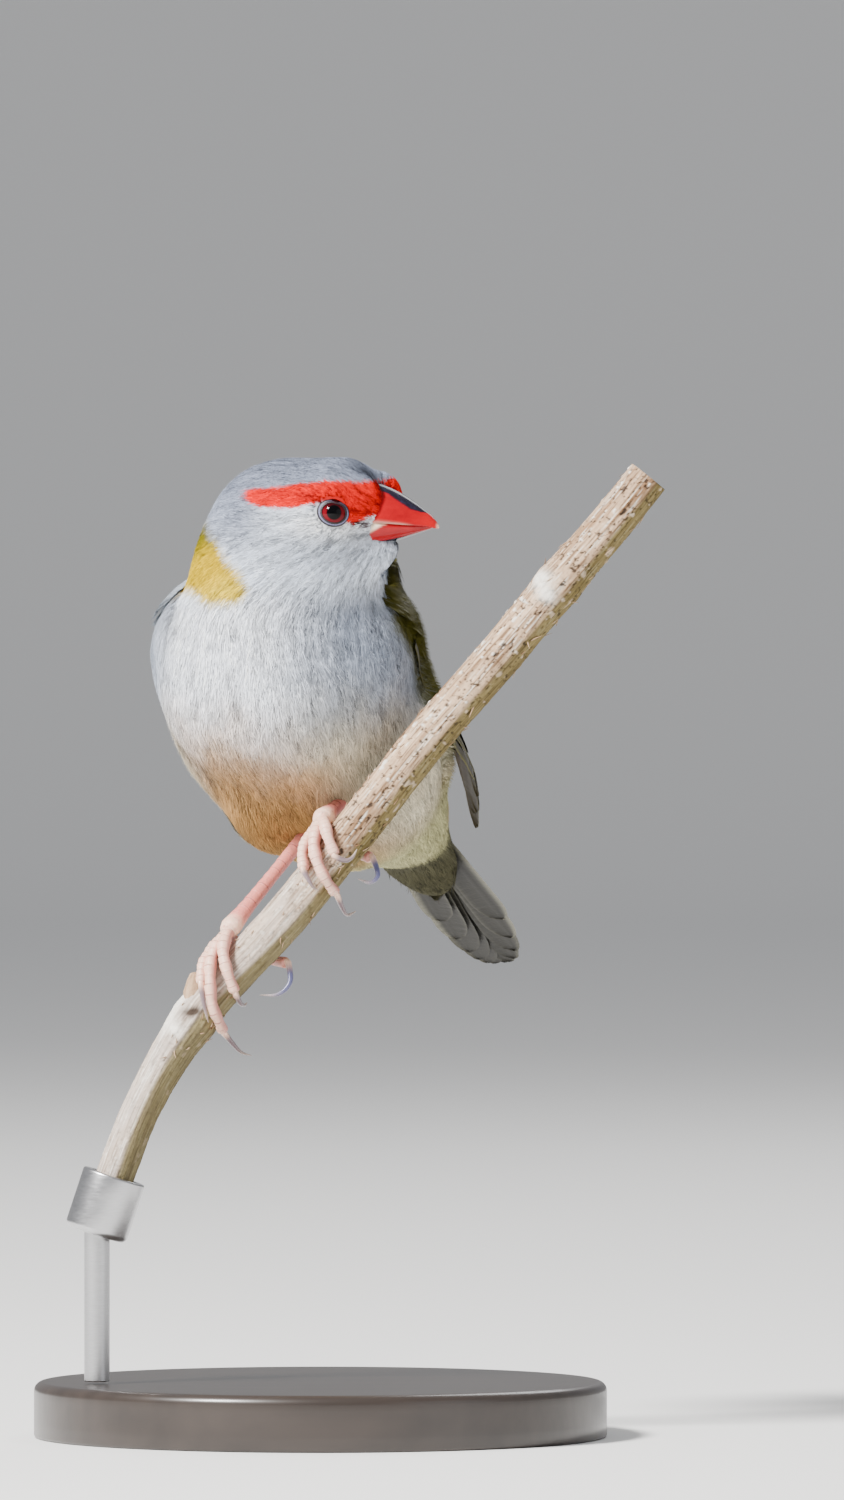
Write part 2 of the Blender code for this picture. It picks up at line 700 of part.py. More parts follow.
def wing_feathers():
    """All vanes of one wing from the wing tip forward and up, in tiers."""
    feathers = []
    for step in range(6):
        share = step / 5
        tip = (53.2 - 13.0 * share, 41.0 + 7.0 * share)
        root = (20.0, 24.0 + 14.0 * share)
        feathers.append((root, tip, 4.2, 0.05 + 0.3 * share, 0.1 + 0.4 * share, 0.72))
    for step in range(4):
        share = step / 3
        tip = (39.5 - 2.0 * share, 44.0 + 13.0 * share)
        root = (18.0, 36.0 + 16.0 * share)
        feathers.append((root, tip, 4.8, 0.5, 0.62 + 0.3 * share, 0.8))
    for step in range(3):
        tip = (38.0 - 4.2 * step, 63.0 + 5.0 * step)
        root = (13.0, 56.0 + 6.0 * step)
        feathers.append((root, tip, 5.6, 0.55 + 0.1 * step, 1.1 + 0.3 * step, 0.78))
    for row_start, row_end, count, width, lift in ((14.5, 25.5, 6, 4.6, 0.85), (10.0, 18.0, 5, 5.2, 0.95), (7.2, 12.4, 4, 5.6, 0.9)):
        for step in range(count):
            share = step / (count - 1)
            low_tip = eased_table(WING_LOW_TURN, row_end) + 6.0
            low_root = eased_table(WING_LOW_TURN, row_start) + 7.0
            high_tip = eased_table(WING_HIGH_TURN, row_end) - 7.0
            high_root = eased_table(WING_HIGH_TURN, row_start) - 9.0
            tip = (row_end - 1.2 * share, low_tip + (high_tip - low_tip) * share)
            root = (row_start - share, low_root + (high_root - low_root) * share)
            feathers.append((root, tip, width, 0.35, lift + 0.25 * share, 0.65))
    return feathers


def build_wing(name, side):
    """A folded wing."""
    if not FINE_FEATHERS:
        return wing_slab(name, side, WING_LENGTH, 1.5)
    wing = wing_slab(name, side, 35.0, 1.0)
    vanes = [wing_vane("vane", side, feather) for feather in wing_feathers()]
    apply_boolean(wing, vanes, "UNION", "MANIFOLD")
    return wing


# The tail: a plug that carries on the body, twelve long feathers and the coverts over and under them.

TAIL_PITCH = 35.0
TAIL_ROOT = (-25.0, -7.2)
TAIL_LENGTH = 44.5
TAIL_STEPS = (0.0, 0.8, 2.2, 4.6, 8.2, 13.0)


def tail_point(back, left, lift):
    """A point of the tail: distance behind its root, to the bird's left and up from its plane."""
    along, side, across = pitched(TAIL_PITCH)
    return in_torso(TAIL_ROOT[0], 0.4, TAIL_ROOT[1]) - back * along + left * side + lift * across


def tail_vane(name, root, tip, widths, lifts, thick, colour):
    """One closed vane of the tail from root (back, left) to tip (back, left)."""
    rings = []
    way = np.array(tip) - np.array(root)
    length = float(np.hypot(*way))
    across = np.array([-way[1], way[0]]) / length
    for share in VANE_SHARES:
        back, left = np.array(root) + way * share
        width = widths[0] + (widths[1] - widths[0]) * min(1.0, share / 0.8)
        half = 0.5 * width * max(0.16, math.sqrt(max(0.0, 1.0 - max(0.0, (share - 0.84) / 0.16) ** 2)))
        lift = lifts[0] + (lifts[1] - lifts[0]) * share
        body = thick if share < 0.97 else 0.42
        low = (back - across[0] * half, left - across[1] * half)
        high = (back + across[0] * half, left + across[1] * half)
        rings.append([
            tail_point(*low, lift),
            tail_point(*high, lift),
            tail_point(*high, lift + body),
            tail_point(*low, lift + body),
        ])
    return make_object(name, *joined_rings(rings), colour)


def tail_plug():
    """The end of the body behind the tail cut, which carries the tail."""
    start = torso_ring(REAR_END + 5.0)[0]
    along = pitched(SPINE_PITCH)[0]
    end = pole_point(start, -along)
    last = np.dot(end - in_torso(SPINE_MIDDLE[0], 0.0, SPINE_MIDDLE[1]), along) + 0.4
    backs = last + (TAIL_CUT - GAP / 2 - last) * np.linspace(0.0, 1.0, 10) ** 1.3
    rings = [ring_points(*torso_ring(back)) for back in backs]
    return make_object("tail", *joined_rings(rings, end, None), (0.10, 0.08, 0.07))


def build_tail():
    """The tail."""
    colour = (0.10, 0.08, 0.07)
    tail = tail_plug()
    vanes = []
    if not FINE_FEATHERS:
        vanes.append(tail_vane("vane", (0.0, 0.0), (TAIL_LENGTH, 0.0), (8.0, 11.0), (-1.4, -1.0), 2.4, colour))
        apply_boolean(tail, vanes, "UNION")
        return tail
    for pair, short in enumerate(TAIL_STEPS):
        for side in (1, -1):
            splay = math.radians(0.4 + ((1.1 + 0.07 * pair) if side > 0 else 0.35) * pair)
            root = (1.0, side * (0.5 + 0.28 * pair))
            length = TAIL_LENGTH - short - 1.0
            tip = (1.0 + length * math.cos(splay), root[1] + side * length * math.sin(splay))
            lift = 1.1 - 0.44 * pair + (0.2 if side > 0 else 0.0)
            vanes.append(tail_vane("vane", root, tip, (2.6, 4.6), (lift, lift), 0.55, colour))
    for row, (start, end, count, spread) in enumerate(((-0.8, 8.0, 3, 2.6), (0.5, 14.0, 2, 2.2))):
        for step in range(count):
            left = spread * (step - 0.5 * (count - 1))
            vanes.append(tail_vane(
                "vane", (start, left * 0.9), (end - 0.5 * abs(left), left),
                (3.4, 3.6), (2.6 - 0.5 * row, 2.0 - 0.25 * row), 0.6, colour,
            ))
            vanes.append(tail_vane(
                "vane", (start, left), (end + 6.0 - 0.5 * abs(left), left),
                (4.2, 4.2), (-5.0 + 0.8 * row, -2.4 + 0.3 * row), 0.7, colour,
            ))
    apply_boolean(tail, vanes, "UNION", "MANIFOLD")
    return tail


# The perch: a bent dry stem whose middle line lies in one upright plane in front of the bird's middle.

PERCH_PLANE = -7.75
PERCH_LINE = (
    (-28.5, 24.5), (-26.1, 31.6), (-22.6, 40.75), (-19.1, 47.5), (-16.25, 51.75), (-13.1, 55.9),
    (-7.25, 62.1), (-2.5, 67.5), (6.4, 78.75), (13.6, 87.9), (22.9, 98.6), (30.0, 107.1),
    (36.5, 114.75), (42.5, 122.25),
)
PERCH_START = 3.0
PERCH_END = 119.5
PERCH_RADII = {
    0.0: 2.5, 12.0: 2.45, 22.0: 2.5, 28.0: 2.75, 31.0: 3.05, 34.0: 2.75, 40.0: 2.75, 60.0: 2.85,
    90.0: 2.85, 99.0: 2.9, 102.0: 3.1, 105.0: 2.85, 122.0: 2.65,
}
PERCH_KNOTS = [(x, PERCH_PLANE, z) for x, z in PERCH_LINE]
PERCH_CURVE = smooth_path(PERCH_KNOTS, 400)
PERCH_LENGTHS = np.concatenate([[0.0], np.cumsum(np.linalg.norm(np.diff(PERCH_CURVE, axis=0), axis=1))])


def perch_middle(place):
    """Middle line of the perch at a distance from its lower end, its way and its upper-left side."""
    here = np.array([np.interp(place, PERCH_LENGTHS, PERCH_CURVE[:, axis]) for axis in range(3)])
    ahead = np.array([np.interp(place + 0.5, PERCH_LENGTHS, PERCH_CURVE[:, axis]) for axis in range(3)])
    behind = np.array([np.interp(place - 0.5, PERCH_LENGTHS, PERCH_CURVE[:, axis]) for axis in range(3)])
    way = unit(ahead - behind)
    return here, way, np.array([-way[2], 0.0, way[0]])


def round_perch(place, turn, radius):
    """A point round the perch; the turn starts on its upper left side and goes over the front."""
    here, _, upper = perch_middle(place)
    angle = math.radians(turn)
    return here + radius * (math.cos(angle) * upper + math.sin(angle) * np.array([0.0, -1.0, 0.0]))


def build_perch():
    """The cut stem with its swollen joint and the stub of a side shoot."""
    places = [PERCH_START, 7.0, 11.0, 15.0, 19.0, 23.0, 26.5, 29.0, 31.0, 33.0, 35.5, 39.0]
    places += list(np.linspace(43.0, 96.0, 13)) + [99.0, 101.0, 103.0, 105.5, 110.0, 115.0, PERCH_END]
    rings = []
    for place in places:
        radius = float(np.interp(place, list(PERCH_RADII.keys()), list(PERCH_RADII.values())))
        rings.append([round_perch(place, 360.0 * step / 16, radius) for step in range(14)])
    perch = make_object("perch", *joined_rings(rings), (0.55, 0.48, 0.38), 0.8)
    stub_start = round_perch(32.6, 22.0, 1.5)
    stub_end = round_perch(35.6, 18.0, 3.7)
    stub_path = smooth_path([stub_start, 0.5 * (stub_start + stub_end), stub_end], 4)
    stub_rings = tube_rings(stub_path, (1.3, 1.25, 1.05, 0.7), 8)
    stub = make_object("stub", *joined_rings(stub_rings), (0.5, 0.45, 0.35))
    apply_boolean(perch, [stub], "UNION")
    return perch


# Legs, toes and claws

TOE_RADIUS = 0.82
GRIP = 2.9 + GAP + TOE_RADIUS
RIGHT_JOINT = 42.0
LEFT_JOINT = 60.5
ANKLE_RADIUS = 1.2
ANKLE_STUB = 2.5

# Each toe: places along the perch and turns round it, then the claw's points as place, turn and radius.
TOES = {
    "right": {
        "joint": RIGHT_JOINT,
        "heel": (-4.0, 1.4, 73.0),
        "toes": (
            ((42.0, 0), (39.9, 14), (37.7, 42), (35.6, 75), (33.9, 101), (32.9, 126), (32.1, 152)),
            ((42.0, 0), (41.2, 20), (39.7, 46), (38.3, 80), (37.2, 112)),
            ((42.0, 0), (40.5, -2), (38.3, 13), (36.5, 35), (35.3, 56)),
            ((42.0, 0), (41.4, -40), (42.0, -85), (43.0, -125), (43.9, -160)),
        ),
        "claws": (
            ((31.9, 164, 4.15), (31.3, 180, 5.6), (31.0, 188, 7.2), (31.4, 192, 8.6)),
            ((36.9, 124, 4.0), (36.5, 140, 4.1), (36.6, 158, 4.0), (37.1, 172, 3.8)),
            ((34.9, 66, 4.0), (33.6, 84, 4.2), (32.5, 102, 4.1), (31.8, 115, 3.9)),
            ((43.6, -172, 4.6), (42.6, -182, 5.9), (40.6, -186, 5.9), (38.9, -186, 4.3)),
        ),
    },
    "left": {
        "joint": LEFT_JOINT,
        "heel": (3.8, 2.0, 80.6),
        "toes": (
            ((60.5, 0), (58.9, 22), (57.2, 48), (55.9, 76), (55.0, 104), (54.5, 132)),
            ((60.5, 0), (58.0, 4), (55.9, 30), (54.5, 56)),
            ((60.5, 0), (60.4, 28), (59.4, 56), (58.3, 84)),
            ((60.5, 0), (59.3, -40), (59.3, -80), (59.9, -118), (60.5, -150)),
        ),
        "claws": (
            ((54.2, 147, 4.2), (53.5, 166, 4.9), (53.2, 180, 5.8), (54.2, 188, 6.4)),
            ((54.1, 69, 4.1), (53.6, 82, 4.3), (53.3, 94, 4.2), (53.4, 106, 3.9)),
            ((58.2, 96, 4.1), (58.4, 108, 4.4), (59.2, 114, 4.4), (60.4, 114, 4.0)),
            ((60.2, -164, 4.7), (59.4, -176, 5.7), (58.1, -182, 5.5), (57.5, -184, 4.0)),
        ),
    },
}


def toe_path(knots):
    """The middle line of a toe that wraps the perch."""
    return smooth_path([round_perch(place, turn, GRIP) for place, turn in knots], 2 * len(knots) + 1)


def toe_radii(count):
    """Toe thickness from its root to its end, with a pad before each joint."""
    shares = np.linspace(0.0, 1.0, count)
    return TOE_RADIUS * (1.02 - 0.16 * shares + 0.06 * np.cos(shares * 6 * math.pi)) - 0.03 * shares


def rounded_end(path, radii):
    """The same tube with one more small ring past its end, so that it ends round."""
    way = unit(path[-1] - path[-2])
    longer = np.vstack([path, path[-1] + way * radii[-1] * 0.45])
    return longer, np.append(radii, radii[-1] * 0.62)


def build_foot(side_name):
    """One foot: four toes from a rounded joint, with a short stub that meets the leg."""
    plan = TOES[side_name]
    joint = round_perch(plan["joint"], 0.0, GRIP + 0.15)
    heel_way = unit(np.array(plan["heel"]) - joint)
    stub_path = np.array([joint - heel_way * 0.7, joint, joint + heel_way * 0.9, joint + heel_way * ANKLE_STUB])
    rings = tube_rings(stub_path, (0.6, ANKLE_RADIUS * 1.1, ANKLE_RADIUS * 1.05, ANKLE_RADIUS), 10)
    foot = make_object("foot_" + side_name, *joined_rings(rings), (0.75, 0.45, 0.42), 0.5)
    toes = []
    for knots in plan["toes"]:
        path = toe_path(knots)
        path, radii = rounded_end(path, toe_radii(len(path)))
        points, faces = joined_rings(tube_rings(path, radii, 7))
        toes.append(make_object("toe", points, faces, (0.75, 0.45, 0.42)))
    apply_boolean(foot, toes, "UNION")
    return foot


def build_claw(side_name, number):
    """One curved claw that starts a gap beyond its toe."""
    plan = TOES[side_name]
    toe = toe_path(plan["toes"][number])
    end_way = unit(toe[-1] - toe[-2])
    end_radius = toe_radii(len(toe))[-1]
    start = toe[-1] + end_way * (end_radius * 0.45 + GAP)
    knots = [start] + [round_perch(*place) for place in plan["claws"][number][1:]]
    path = smooth_path(knots, 7)
    shares = np.linspace(0.0, 1.0, 7)
    radii = 0.46 * (1.0 - 0.78 * shares ** 1.3)
    points, faces = joined_rings(tube_rings(path, radii, 6))
    name = "claw_" + side_name + "_" + str(number + 1)
    return make_object(name, points, faces, (0.35, 0.32, 0.36), 0.35)


def build_tarsus(side_name):
    """The bare leg from the foot's stub up to the feathers of the thigh, with raised scutes."""
    plan = TOES[side_name]
    joint = round_perch(plan["joint"], 0.0, GRIP + 0.15)
    heel = np.array(plan["heel"])
    way = unit(heel - joint)
    start = joint + way * (ANKLE_STUB + GAP)
    side_a = unit(np.cross(way, UP))
    side_b = np.cross(way, side_a)
    sides = 12
    turns = [2 * math.pi * step / sides for step in range(sides)]
    top_radius = 0.92
    inside = start + way * 30.0
    for distance in np.linspace(0.0, 30.0, 121):
        if body_distance((start + way * distance)[None])[0] < -2.0:
            inside = start + way * distance
            break
    tops = []
    for turn in turns:
        offset = top_radius * (math.cos(turn) * side_a + math.sin(turn) * side_b)
        back = surface_reach((inside + offset)[None], -way[None], GAP + 0.08)[0]
        tops.append(inside + offset - way * back)
    length = min(np.dot(top - start, way) for top in tops)
    rings = []
    steps = 13
    for step in range(steps):
        share = step / steps
        ridge = 1.0 + (0.06 if step % 2 else 0.0)
        radius = (ANKLE_RADIUS * 0.97 + (top_radius - ANKLE_RADIUS * 0.97) * min(1.0, share * 1.6)) * ridge
        if step == 0:
            radius = ANKLE_RADIUS * 0.97
        centre = start + way * length * share * 0.97
        rings.append([centre + radius * (math.cos(turn) * side_a + math.sin(turn) * side_b) for turn in turns])
    rings.append(tops)
    return make_object("tarsus_" + side_name, *joined_rings(rings), (0.75, 0.40, 0.38), 0.5)


# The stand

BASE_RADIUS = 36.0
BASE_HEIGHT = 7.0
BASE_EDGE = 1.2
ROD_RADIUS = 1.6
CUP_RADIUS = 4.0
CUP_DEPTH = 6.0
CUP_FLOOR = 1.4


def turned(name, axis_start, axis_way, profile, segments, colour, roughness):
    """A closed shape turned round an axis from (radius, height) pairs that end off the axis."""
    first, second, way = axes_around(unit(axis_way)) if abs(axis_way[2]) < 0.999 else list(np.eye(3))
    rings = []
    for radius, height in profile:
        rings.append([
            axis_start + way * height
            + radius * (math.cos(2 * math.pi * k / segments) * first + math.sin(2 * math.pi * k / segments) * second)
            for k in range(segments)
        ])
    return make_object(name, *joined_rings(rings), colour, roughness)


def build_stand():
    """A round base and one rod that ends in a cup round the cut end of the stem."""
    profile = [(BASE_RADIUS - 0.4, 0.0), (BASE_RADIUS, 0.4), (BASE_RADIUS, BASE_HEIGHT - BASE_EDGE)]
    profile += [
        (BASE_RADIUS - BASE_EDGE * (1 - math.cos(turn)), BASE_HEIGHT - BASE_EDGE * (1 - math.sin(turn)))
        for turn in (math.pi / 6, math.pi / 3, math.pi / 2)
    ]
    origin = np.zeros(3)
    base = turned("stand_base", origin, UP, profile, 48, (0.05, 0.05, 0.05), 0.4)
    end, way, _ = perch_middle(PERCH_START)
    inner = 2.5 + GAP + 0.05
    cup_profile = [
        (CUP_RADIUS - 0.8, -GAP - CUP_FLOOR), (CUP_RADIUS, -GAP - CUP_FLOOR + 0.8),
        (CUP_RADIUS, CUP_DEPTH - 0.3), (CUP_RADIUS - 0.3, CUP_DEPTH), (inner, CUP_DEPTH), (inner, -GAP),
    ]
    rod = turned("stand_rod", end, way, cup_profile, 24, (0.6, 0.6, 0.6), 0.3)
    foot_place = end - way * (GAP + 0.5 * CUP_FLOOR)
    rod_start = np.array([foot_place[0], foot_place[1], BASE_HEIGHT + GAP])
    height = foot_place[2] - rod_start[2]
    post = turned("post", rod_start, UP, [(ROD_RADIUS, 0.0), (ROD_RADIUS, height)], 16, (0.6, 0.6, 0.6), 0.3)
    apply_boolean(rod, [post], "UNION")
    return base, rod


def build_all():
    """Every named piece."""
    for thing in list(bpy.data.objects):
        bpy.data.objects.remove(thing)
    build_torso()
    build_neck()
    build_head()
    build_bill("bill_upper", True, (0.75, 0.03, 0.03))
    build_bill("bill_lower", False, (0.70, 0.05, 0.04))
    build_eye("eye_right", 1)
    build_eye("eye_left", -1)
    build_wing("wing_right", 1)
    build_wing("wing_left", -1)
    build_tail()
    for side_name in ("right", "left"):
        build_tarsus(side_name)
        build_foot(side_name)
        for number in range(4):
            build_claw(side_name, number)
    build_perch()
    build_stand()


build_all()
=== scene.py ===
# A still, life-size red-browed finch on a cut stem and a plain stand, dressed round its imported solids.
# Lengths inside the functions are millimetres, and make_piece turns them into metres.

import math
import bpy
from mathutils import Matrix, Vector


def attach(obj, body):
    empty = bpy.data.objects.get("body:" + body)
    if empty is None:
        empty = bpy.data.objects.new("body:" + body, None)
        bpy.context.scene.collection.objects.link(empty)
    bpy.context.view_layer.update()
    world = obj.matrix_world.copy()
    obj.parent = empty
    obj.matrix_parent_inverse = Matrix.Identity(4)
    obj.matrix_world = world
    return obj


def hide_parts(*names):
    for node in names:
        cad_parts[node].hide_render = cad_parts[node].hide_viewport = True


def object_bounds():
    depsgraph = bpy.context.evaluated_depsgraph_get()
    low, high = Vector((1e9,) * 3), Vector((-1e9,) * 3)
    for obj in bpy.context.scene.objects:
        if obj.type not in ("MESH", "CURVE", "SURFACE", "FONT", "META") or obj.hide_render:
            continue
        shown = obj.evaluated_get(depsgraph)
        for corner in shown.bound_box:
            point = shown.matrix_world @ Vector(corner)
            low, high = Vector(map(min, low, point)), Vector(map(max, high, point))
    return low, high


bl_info = {
    "name": "Finch on a Stem",
    "version": (1, 0, 0),
    "blender": (4, 5, 0),
    "location": "View3D > Sidebar > Finch",
    "description": "Builds the coat, wings, bill, legs, perch and stand of a life-size finch model",
    "category": "Add Mesh",
}

import bpy
import numpy as np
from bpy.props import FloatProperty, FloatVectorProperty, PointerProperty

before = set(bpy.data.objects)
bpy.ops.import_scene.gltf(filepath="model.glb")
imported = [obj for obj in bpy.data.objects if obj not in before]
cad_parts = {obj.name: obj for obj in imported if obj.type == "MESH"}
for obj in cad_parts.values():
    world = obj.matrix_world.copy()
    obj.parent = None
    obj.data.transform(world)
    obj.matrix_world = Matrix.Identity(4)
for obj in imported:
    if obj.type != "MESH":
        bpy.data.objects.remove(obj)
CAD_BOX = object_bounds()

METRES = 0.001
MILLIMETRES = 1000.0
# The space between neighbouring solids.
GAP = 0.3
UP = np.array([0.0, 0.0, 1.0])


# Small tools

def unit(vector):
    """The same direction with a length of one, for one vector or a row of them."""
    vector = np.asarray(vector, float)
    return vector / np.maximum(np.linalg.norm(vector, axis=-1, keepdims=True), 1e-12)


def eased(value, low, high):
    """A smooth step from nothing at low to one at high."""
    share = np.clip((np.asarray(value, float) - low) / (high - low), 0.0, 1.0)
    return share * share * (3.0 - 2.0 * share)


def table_value(table, where):
    """A value read from a small table with straight runs between its entries."""
    return np.interp(where, list(table.keys()), list(table.values()))


def linear(red, green, blue):
    """A colour given as a screen shows it, from 0 to 255, as the light values that shaders use."""
    screen = np.array([red, green, blue]) / 255.0
    return np.where(screen <= 0.04045, screen / 12.92, ((screen + 0.055) / 1.055) ** 2.4)


def mixed(first, second, share):
    """Colours between two colours, by a share for each point."""
    share = np.asarray(share, float)[..., None]
    return np.asarray(first) * (1.0 - share) + np.asarray(second) * share


def alike(*values):
    """Values spread to one common shape, each ready to be multiplied by a direction."""
    arrays = [np.asarray(value, float) for value in values]
    return [value[..., None] for value in np.broadcast_arrays(*arrays)]


def lattice_value(cells, seed):
    """A repeatable value from 0 to 1 for each whole-numbered cell."""
    mixed_bits = cells[..., 0] * 73856093 ^ cells[..., 1] * 19349663 ^ cells[..., 2] * 83492791
    mixed_bits = (mixed_bits ^ (seed * 2654435761)) & 0xFFFFFFFF
    mixed_bits = ((mixed_bits ^ (mixed_bits >> 15)) * 2246822519) & 0xFFFFFFFF
    mixed_bits = ((mixed_bits ^ (mixed_bits >> 13)) * 3266489917) & 0xFFFFFFFF
    return ((mixed_bits ^ (mixed_bits >> 16)) & 0xFFFF) / 65535.0


def smooth_noise(points, seed=1):
    """Smooth values from -1 to 1 that change over about one unit of distance."""
    points = np.asarray(points, float)
    cells = np.floor(points).astype(np.int64)
    share = points - cells
    share = share * share * (3.0 - 2.0 * share)
    total = np.zeros(points.shape[:-1])
    for corner in range(8):
        step = np.array([corner & 1, corner >> 1 & 1, corner >> 2 & 1])
        weight = np.prod(np.where(step, share, 1.0 - share), axis=-1)
        total += weight * lattice_value(cells + step, seed)
    return total * 2.0 - 1.0


def rough_noise(points, seed=1, octaves=3):
    """Noise with finer detail on top of coarser."""
    total = 0.0
    strength = 1.0
    for octave in range(octaves):
        total = total + strength * smooth_noise(np.asarray(points) * 2.0 ** octave, seed + octave)
        strength *= 0.5
    return total / (2.0 - 2.0 ** (1 - octaves))


def round_grain(along, angle, width, seed, octaves):
    """Noise on a rod, at these lengths along it and angles round it; a larger width is finer grain."""
    places = np.stack([along, np.cos(angle) * width, np.sin(angle) * width], axis=-1)
    return rough_noise(places, seed, octaves)


# How the bird stands: its chest faces the viewer and a little to the left, its head is turned to the right.

CHEST_YAW = math.radians(25.0)
HEAD_YAW = math.radians(20.0)
BILL_DROP = math.radians(4.0)
FORWARD = np.array([-math.sin(CHEST_YAW), -math.cos(CHEST_YAW), 0.0])
LEFT = np.array([math.cos(CHEST_YAW), -math.sin(CHEST_YAW), 0.0])
TORSO = np.array([-3.75, 4.0, 90.0])
BILL_WAY = np.array([
    math.cos(HEAD_YAW) * math.cos(BILL_DROP),
    -math.sin(HEAD_YAW) * math.cos(BILL_DROP),
    -math.sin(BILL_DROP),
])
HEAD_SIDE = unit(np.cross(BILL_WAY, UP))
HEAD_UP = np.cross(HEAD_SIDE, BILL_WAY)
HEAD = np.array([1.25, -6.54, 115.6])
HEAD_AXES = np.array([BILL_WAY, HEAD_SIDE, HEAD_UP])


def in_torso(forward, left, up):
    """A point given by its distances forward, left and up from the middle of the torso."""
    return TORSO + forward * FORWARD + left * LEFT + up * UP


def in_head(ahead, side, up):
    """A point given by its distances along the bill, to the bird's right and up from mid head."""
    return HEAD + ahead * BILL_WAY + side * HEAD_SIDE + up * HEAD_UP


def pitched(degrees):
    """Three axes whose first one points forward and up by this angle."""
    angle = math.radians(degrees)
    along = math.cos(angle) * FORWARD + math.sin(angle) * UP
    across = -math.sin(angle) * FORWARD + math.cos(angle) * UP
    return np.array([along, LEFT, across])


def raised_head_axes(degrees):
    """The head's axes with the first one raised by this angle."""
    angle = math.radians(degrees)
    along = math.cos(angle) * BILL_WAY + math.sin(angle) * HEAD_UP
    across = -math.sin(angle) * BILL_WAY + math.cos(angle) * HEAD_UP
    return np.array([along, HEAD_SIDE, across])


# Each rounded mass of the body, out to the tips of its feathers: centre, axes and half lengths.
MASSES = {
    "trunk": (in_torso(-4.0, 0.0, 0.9), pitched(38), (26.5, 15.9, 14.9)),
    "shoulder_right": (in_torso(2.0, -8.4, 8.6), pitched(0), (9.2, 9.2, 9.4)),
    "shoulder_left": (in_torso(2.0, 8.0, 8.6), pitched(0), (9.0, 9.0, 9.2)),
    "flank_right": (in_torso(-3.0, -9.0, 0.5), pitched(38), (12.0, 7.6, 9.0)),
    "breast": (in_torso(5.0, 0.0, 4.0), pitched(0), (13.0, 13.6, 12.6)),
    "mantle": (in_torso(-4.0, 0.0, 11.0), pitched(46), (14.0, 9.5, 7.0)),
    "rump": (in_torso(-19.0, 0.8, -6.0), pitched(35), (17.0, 9.6, 7.6)),
    "vent": (in_torso(-19.0, 0.8, -9.6), pitched(22), (17.0, 8.6, 6.6)),
    "undertail": (in_torso(-33.0, 0.4, -14.8), pitched(36), (12.5, 5.6, 3.4)),
    "uppertail": (in_torso(-28.0, 0.4, -8.0), pitched(36), (12.0, 5.0, 2.6)),
    "thigh_right": (in_torso(-1.0, -3.5, -12.0), pitched(30), (6.5, 4.4, 4.0)),
    "thigh_left": (in_torso(-3.0, 6.5, -9.5), pitched(30), (6.0, 4.2, 4.2)),
    "neck": (in_torso(5.9, 2.8, 18.0), np.eye(3), (12.4, 10.8, 12.6)),
    "skull": (in_head(-4.4, 0.0, -1.0), HEAD_AXES, (10.3, 8.2, 7.85)),
    "face": (in_head(1.4, 0.0, 0.7), HEAD_AXES, (4.7, 6.1, 6.5)),
    "lore_right": (in_head(5.0, 2.5, 1.9), HEAD_AXES, (2.7, 1.3, 2.9)),
    "lore_left": (in_head(5.8, -2.4, 2.8), HEAD_AXES, (2.6, 1.3, 2.8)),
    "throat": (in_head(3.2, 0.0, -4.7), raised_head_axes(14), (6.2, 2.3, 3.0)),
}
BLEND = 1.0


def body_distance(points):
    """Signed distance from the smooth outside of the bird, without its bill, wings and tail."""
    points = np.asarray(points, float)
    total = 0.0
    for centre, axes, half_lengths in MASSES.values():
        local = (points - centre) @ np.asarray(axes).T
        size = np.asarray(half_lengths)
        scaled = np.sqrt(((local / size) ** 2).sum(-1))
        slope = np.sqrt(((local / size ** 2) ** 2).sum(-1))
        distance = scaled * (scaled - 1.0) / np.maximum(slope, 1e-9)
        total = total + np.exp(-np.clip(distance / BLEND, -60.0, 60.0))
    return -BLEND * np.log(total)


def body_normals(points, step=0.25):
    """The way out of the body at each point."""
    slopes = [
        body_distance(points + step * axis) - body_distance(points - step * axis)
        for axis in np.eye(3)
    ]
    return unit(np.stack(slopes, axis=-1))


def surface_reach(origins, ways, offset, farthest=60.0, rounds=34):
    """How far along each way the surface lies, moved outward by offset, from a start inside it."""
    near = np.zeros(len(origins))
    far = np.full(len(origins), farthest)
    for _ in range(rounds):
        middle = 0.5 * (near + far)
        outside = body_distance(origins + ways * middle[:, None]) > offset
        far = np.where(outside, middle, far)
        near = np.where(outside, near, middle)
    return 0.5 * (near + far)


# Meshes and materials

def grid_faces(rows, columns, wrap=False, start=0):
    """Four-sided faces over rows of points, closed round if wrap is true."""
    last = columns if wrap else columns - 1
    row, column = np.meshgrid(np.arange(rows - 1), np.arange(last), indexing="ij")
    after = (column + 1) % columns
    low = start + row * columns
    high = low + columns
    return np.stack([low + column, low + after, high + after, high + column], axis=-1).reshape(-1, 4)


def fan_faces(ring_start, count, tip, turned):
    """Three-sided faces from a ring to one point."""
    here = ring_start + np.arange(count)
    after = ring_start + (np.arange(count) + 1) % count
    order = [after, here] if turned else [here, after]
    return np.stack([*order, np.full(count, tip)], axis=-1)


def capped(rows, columns):
    """Faces of a grid of rings that is closed by a point at each end."""
    count = rows * columns
    start = fan_faces(0, columns, count, True)
    end = fan_faces(count - columns, columns, count + 1, False)
    return [grid_faces(rows, columns, wrap=True), np.concatenate([start, end])]


def with_ends(rings, first=None, last=None):
    """The values of rings in one list, with the mean of the first and last one unless two are given."""
    start = rings[0].mean(axis=0) if first is None else first
    end = rings[-1].mean(axis=0) if last is None else last
    return np.concatenate([rings.reshape(-1, 3), [start, end]])


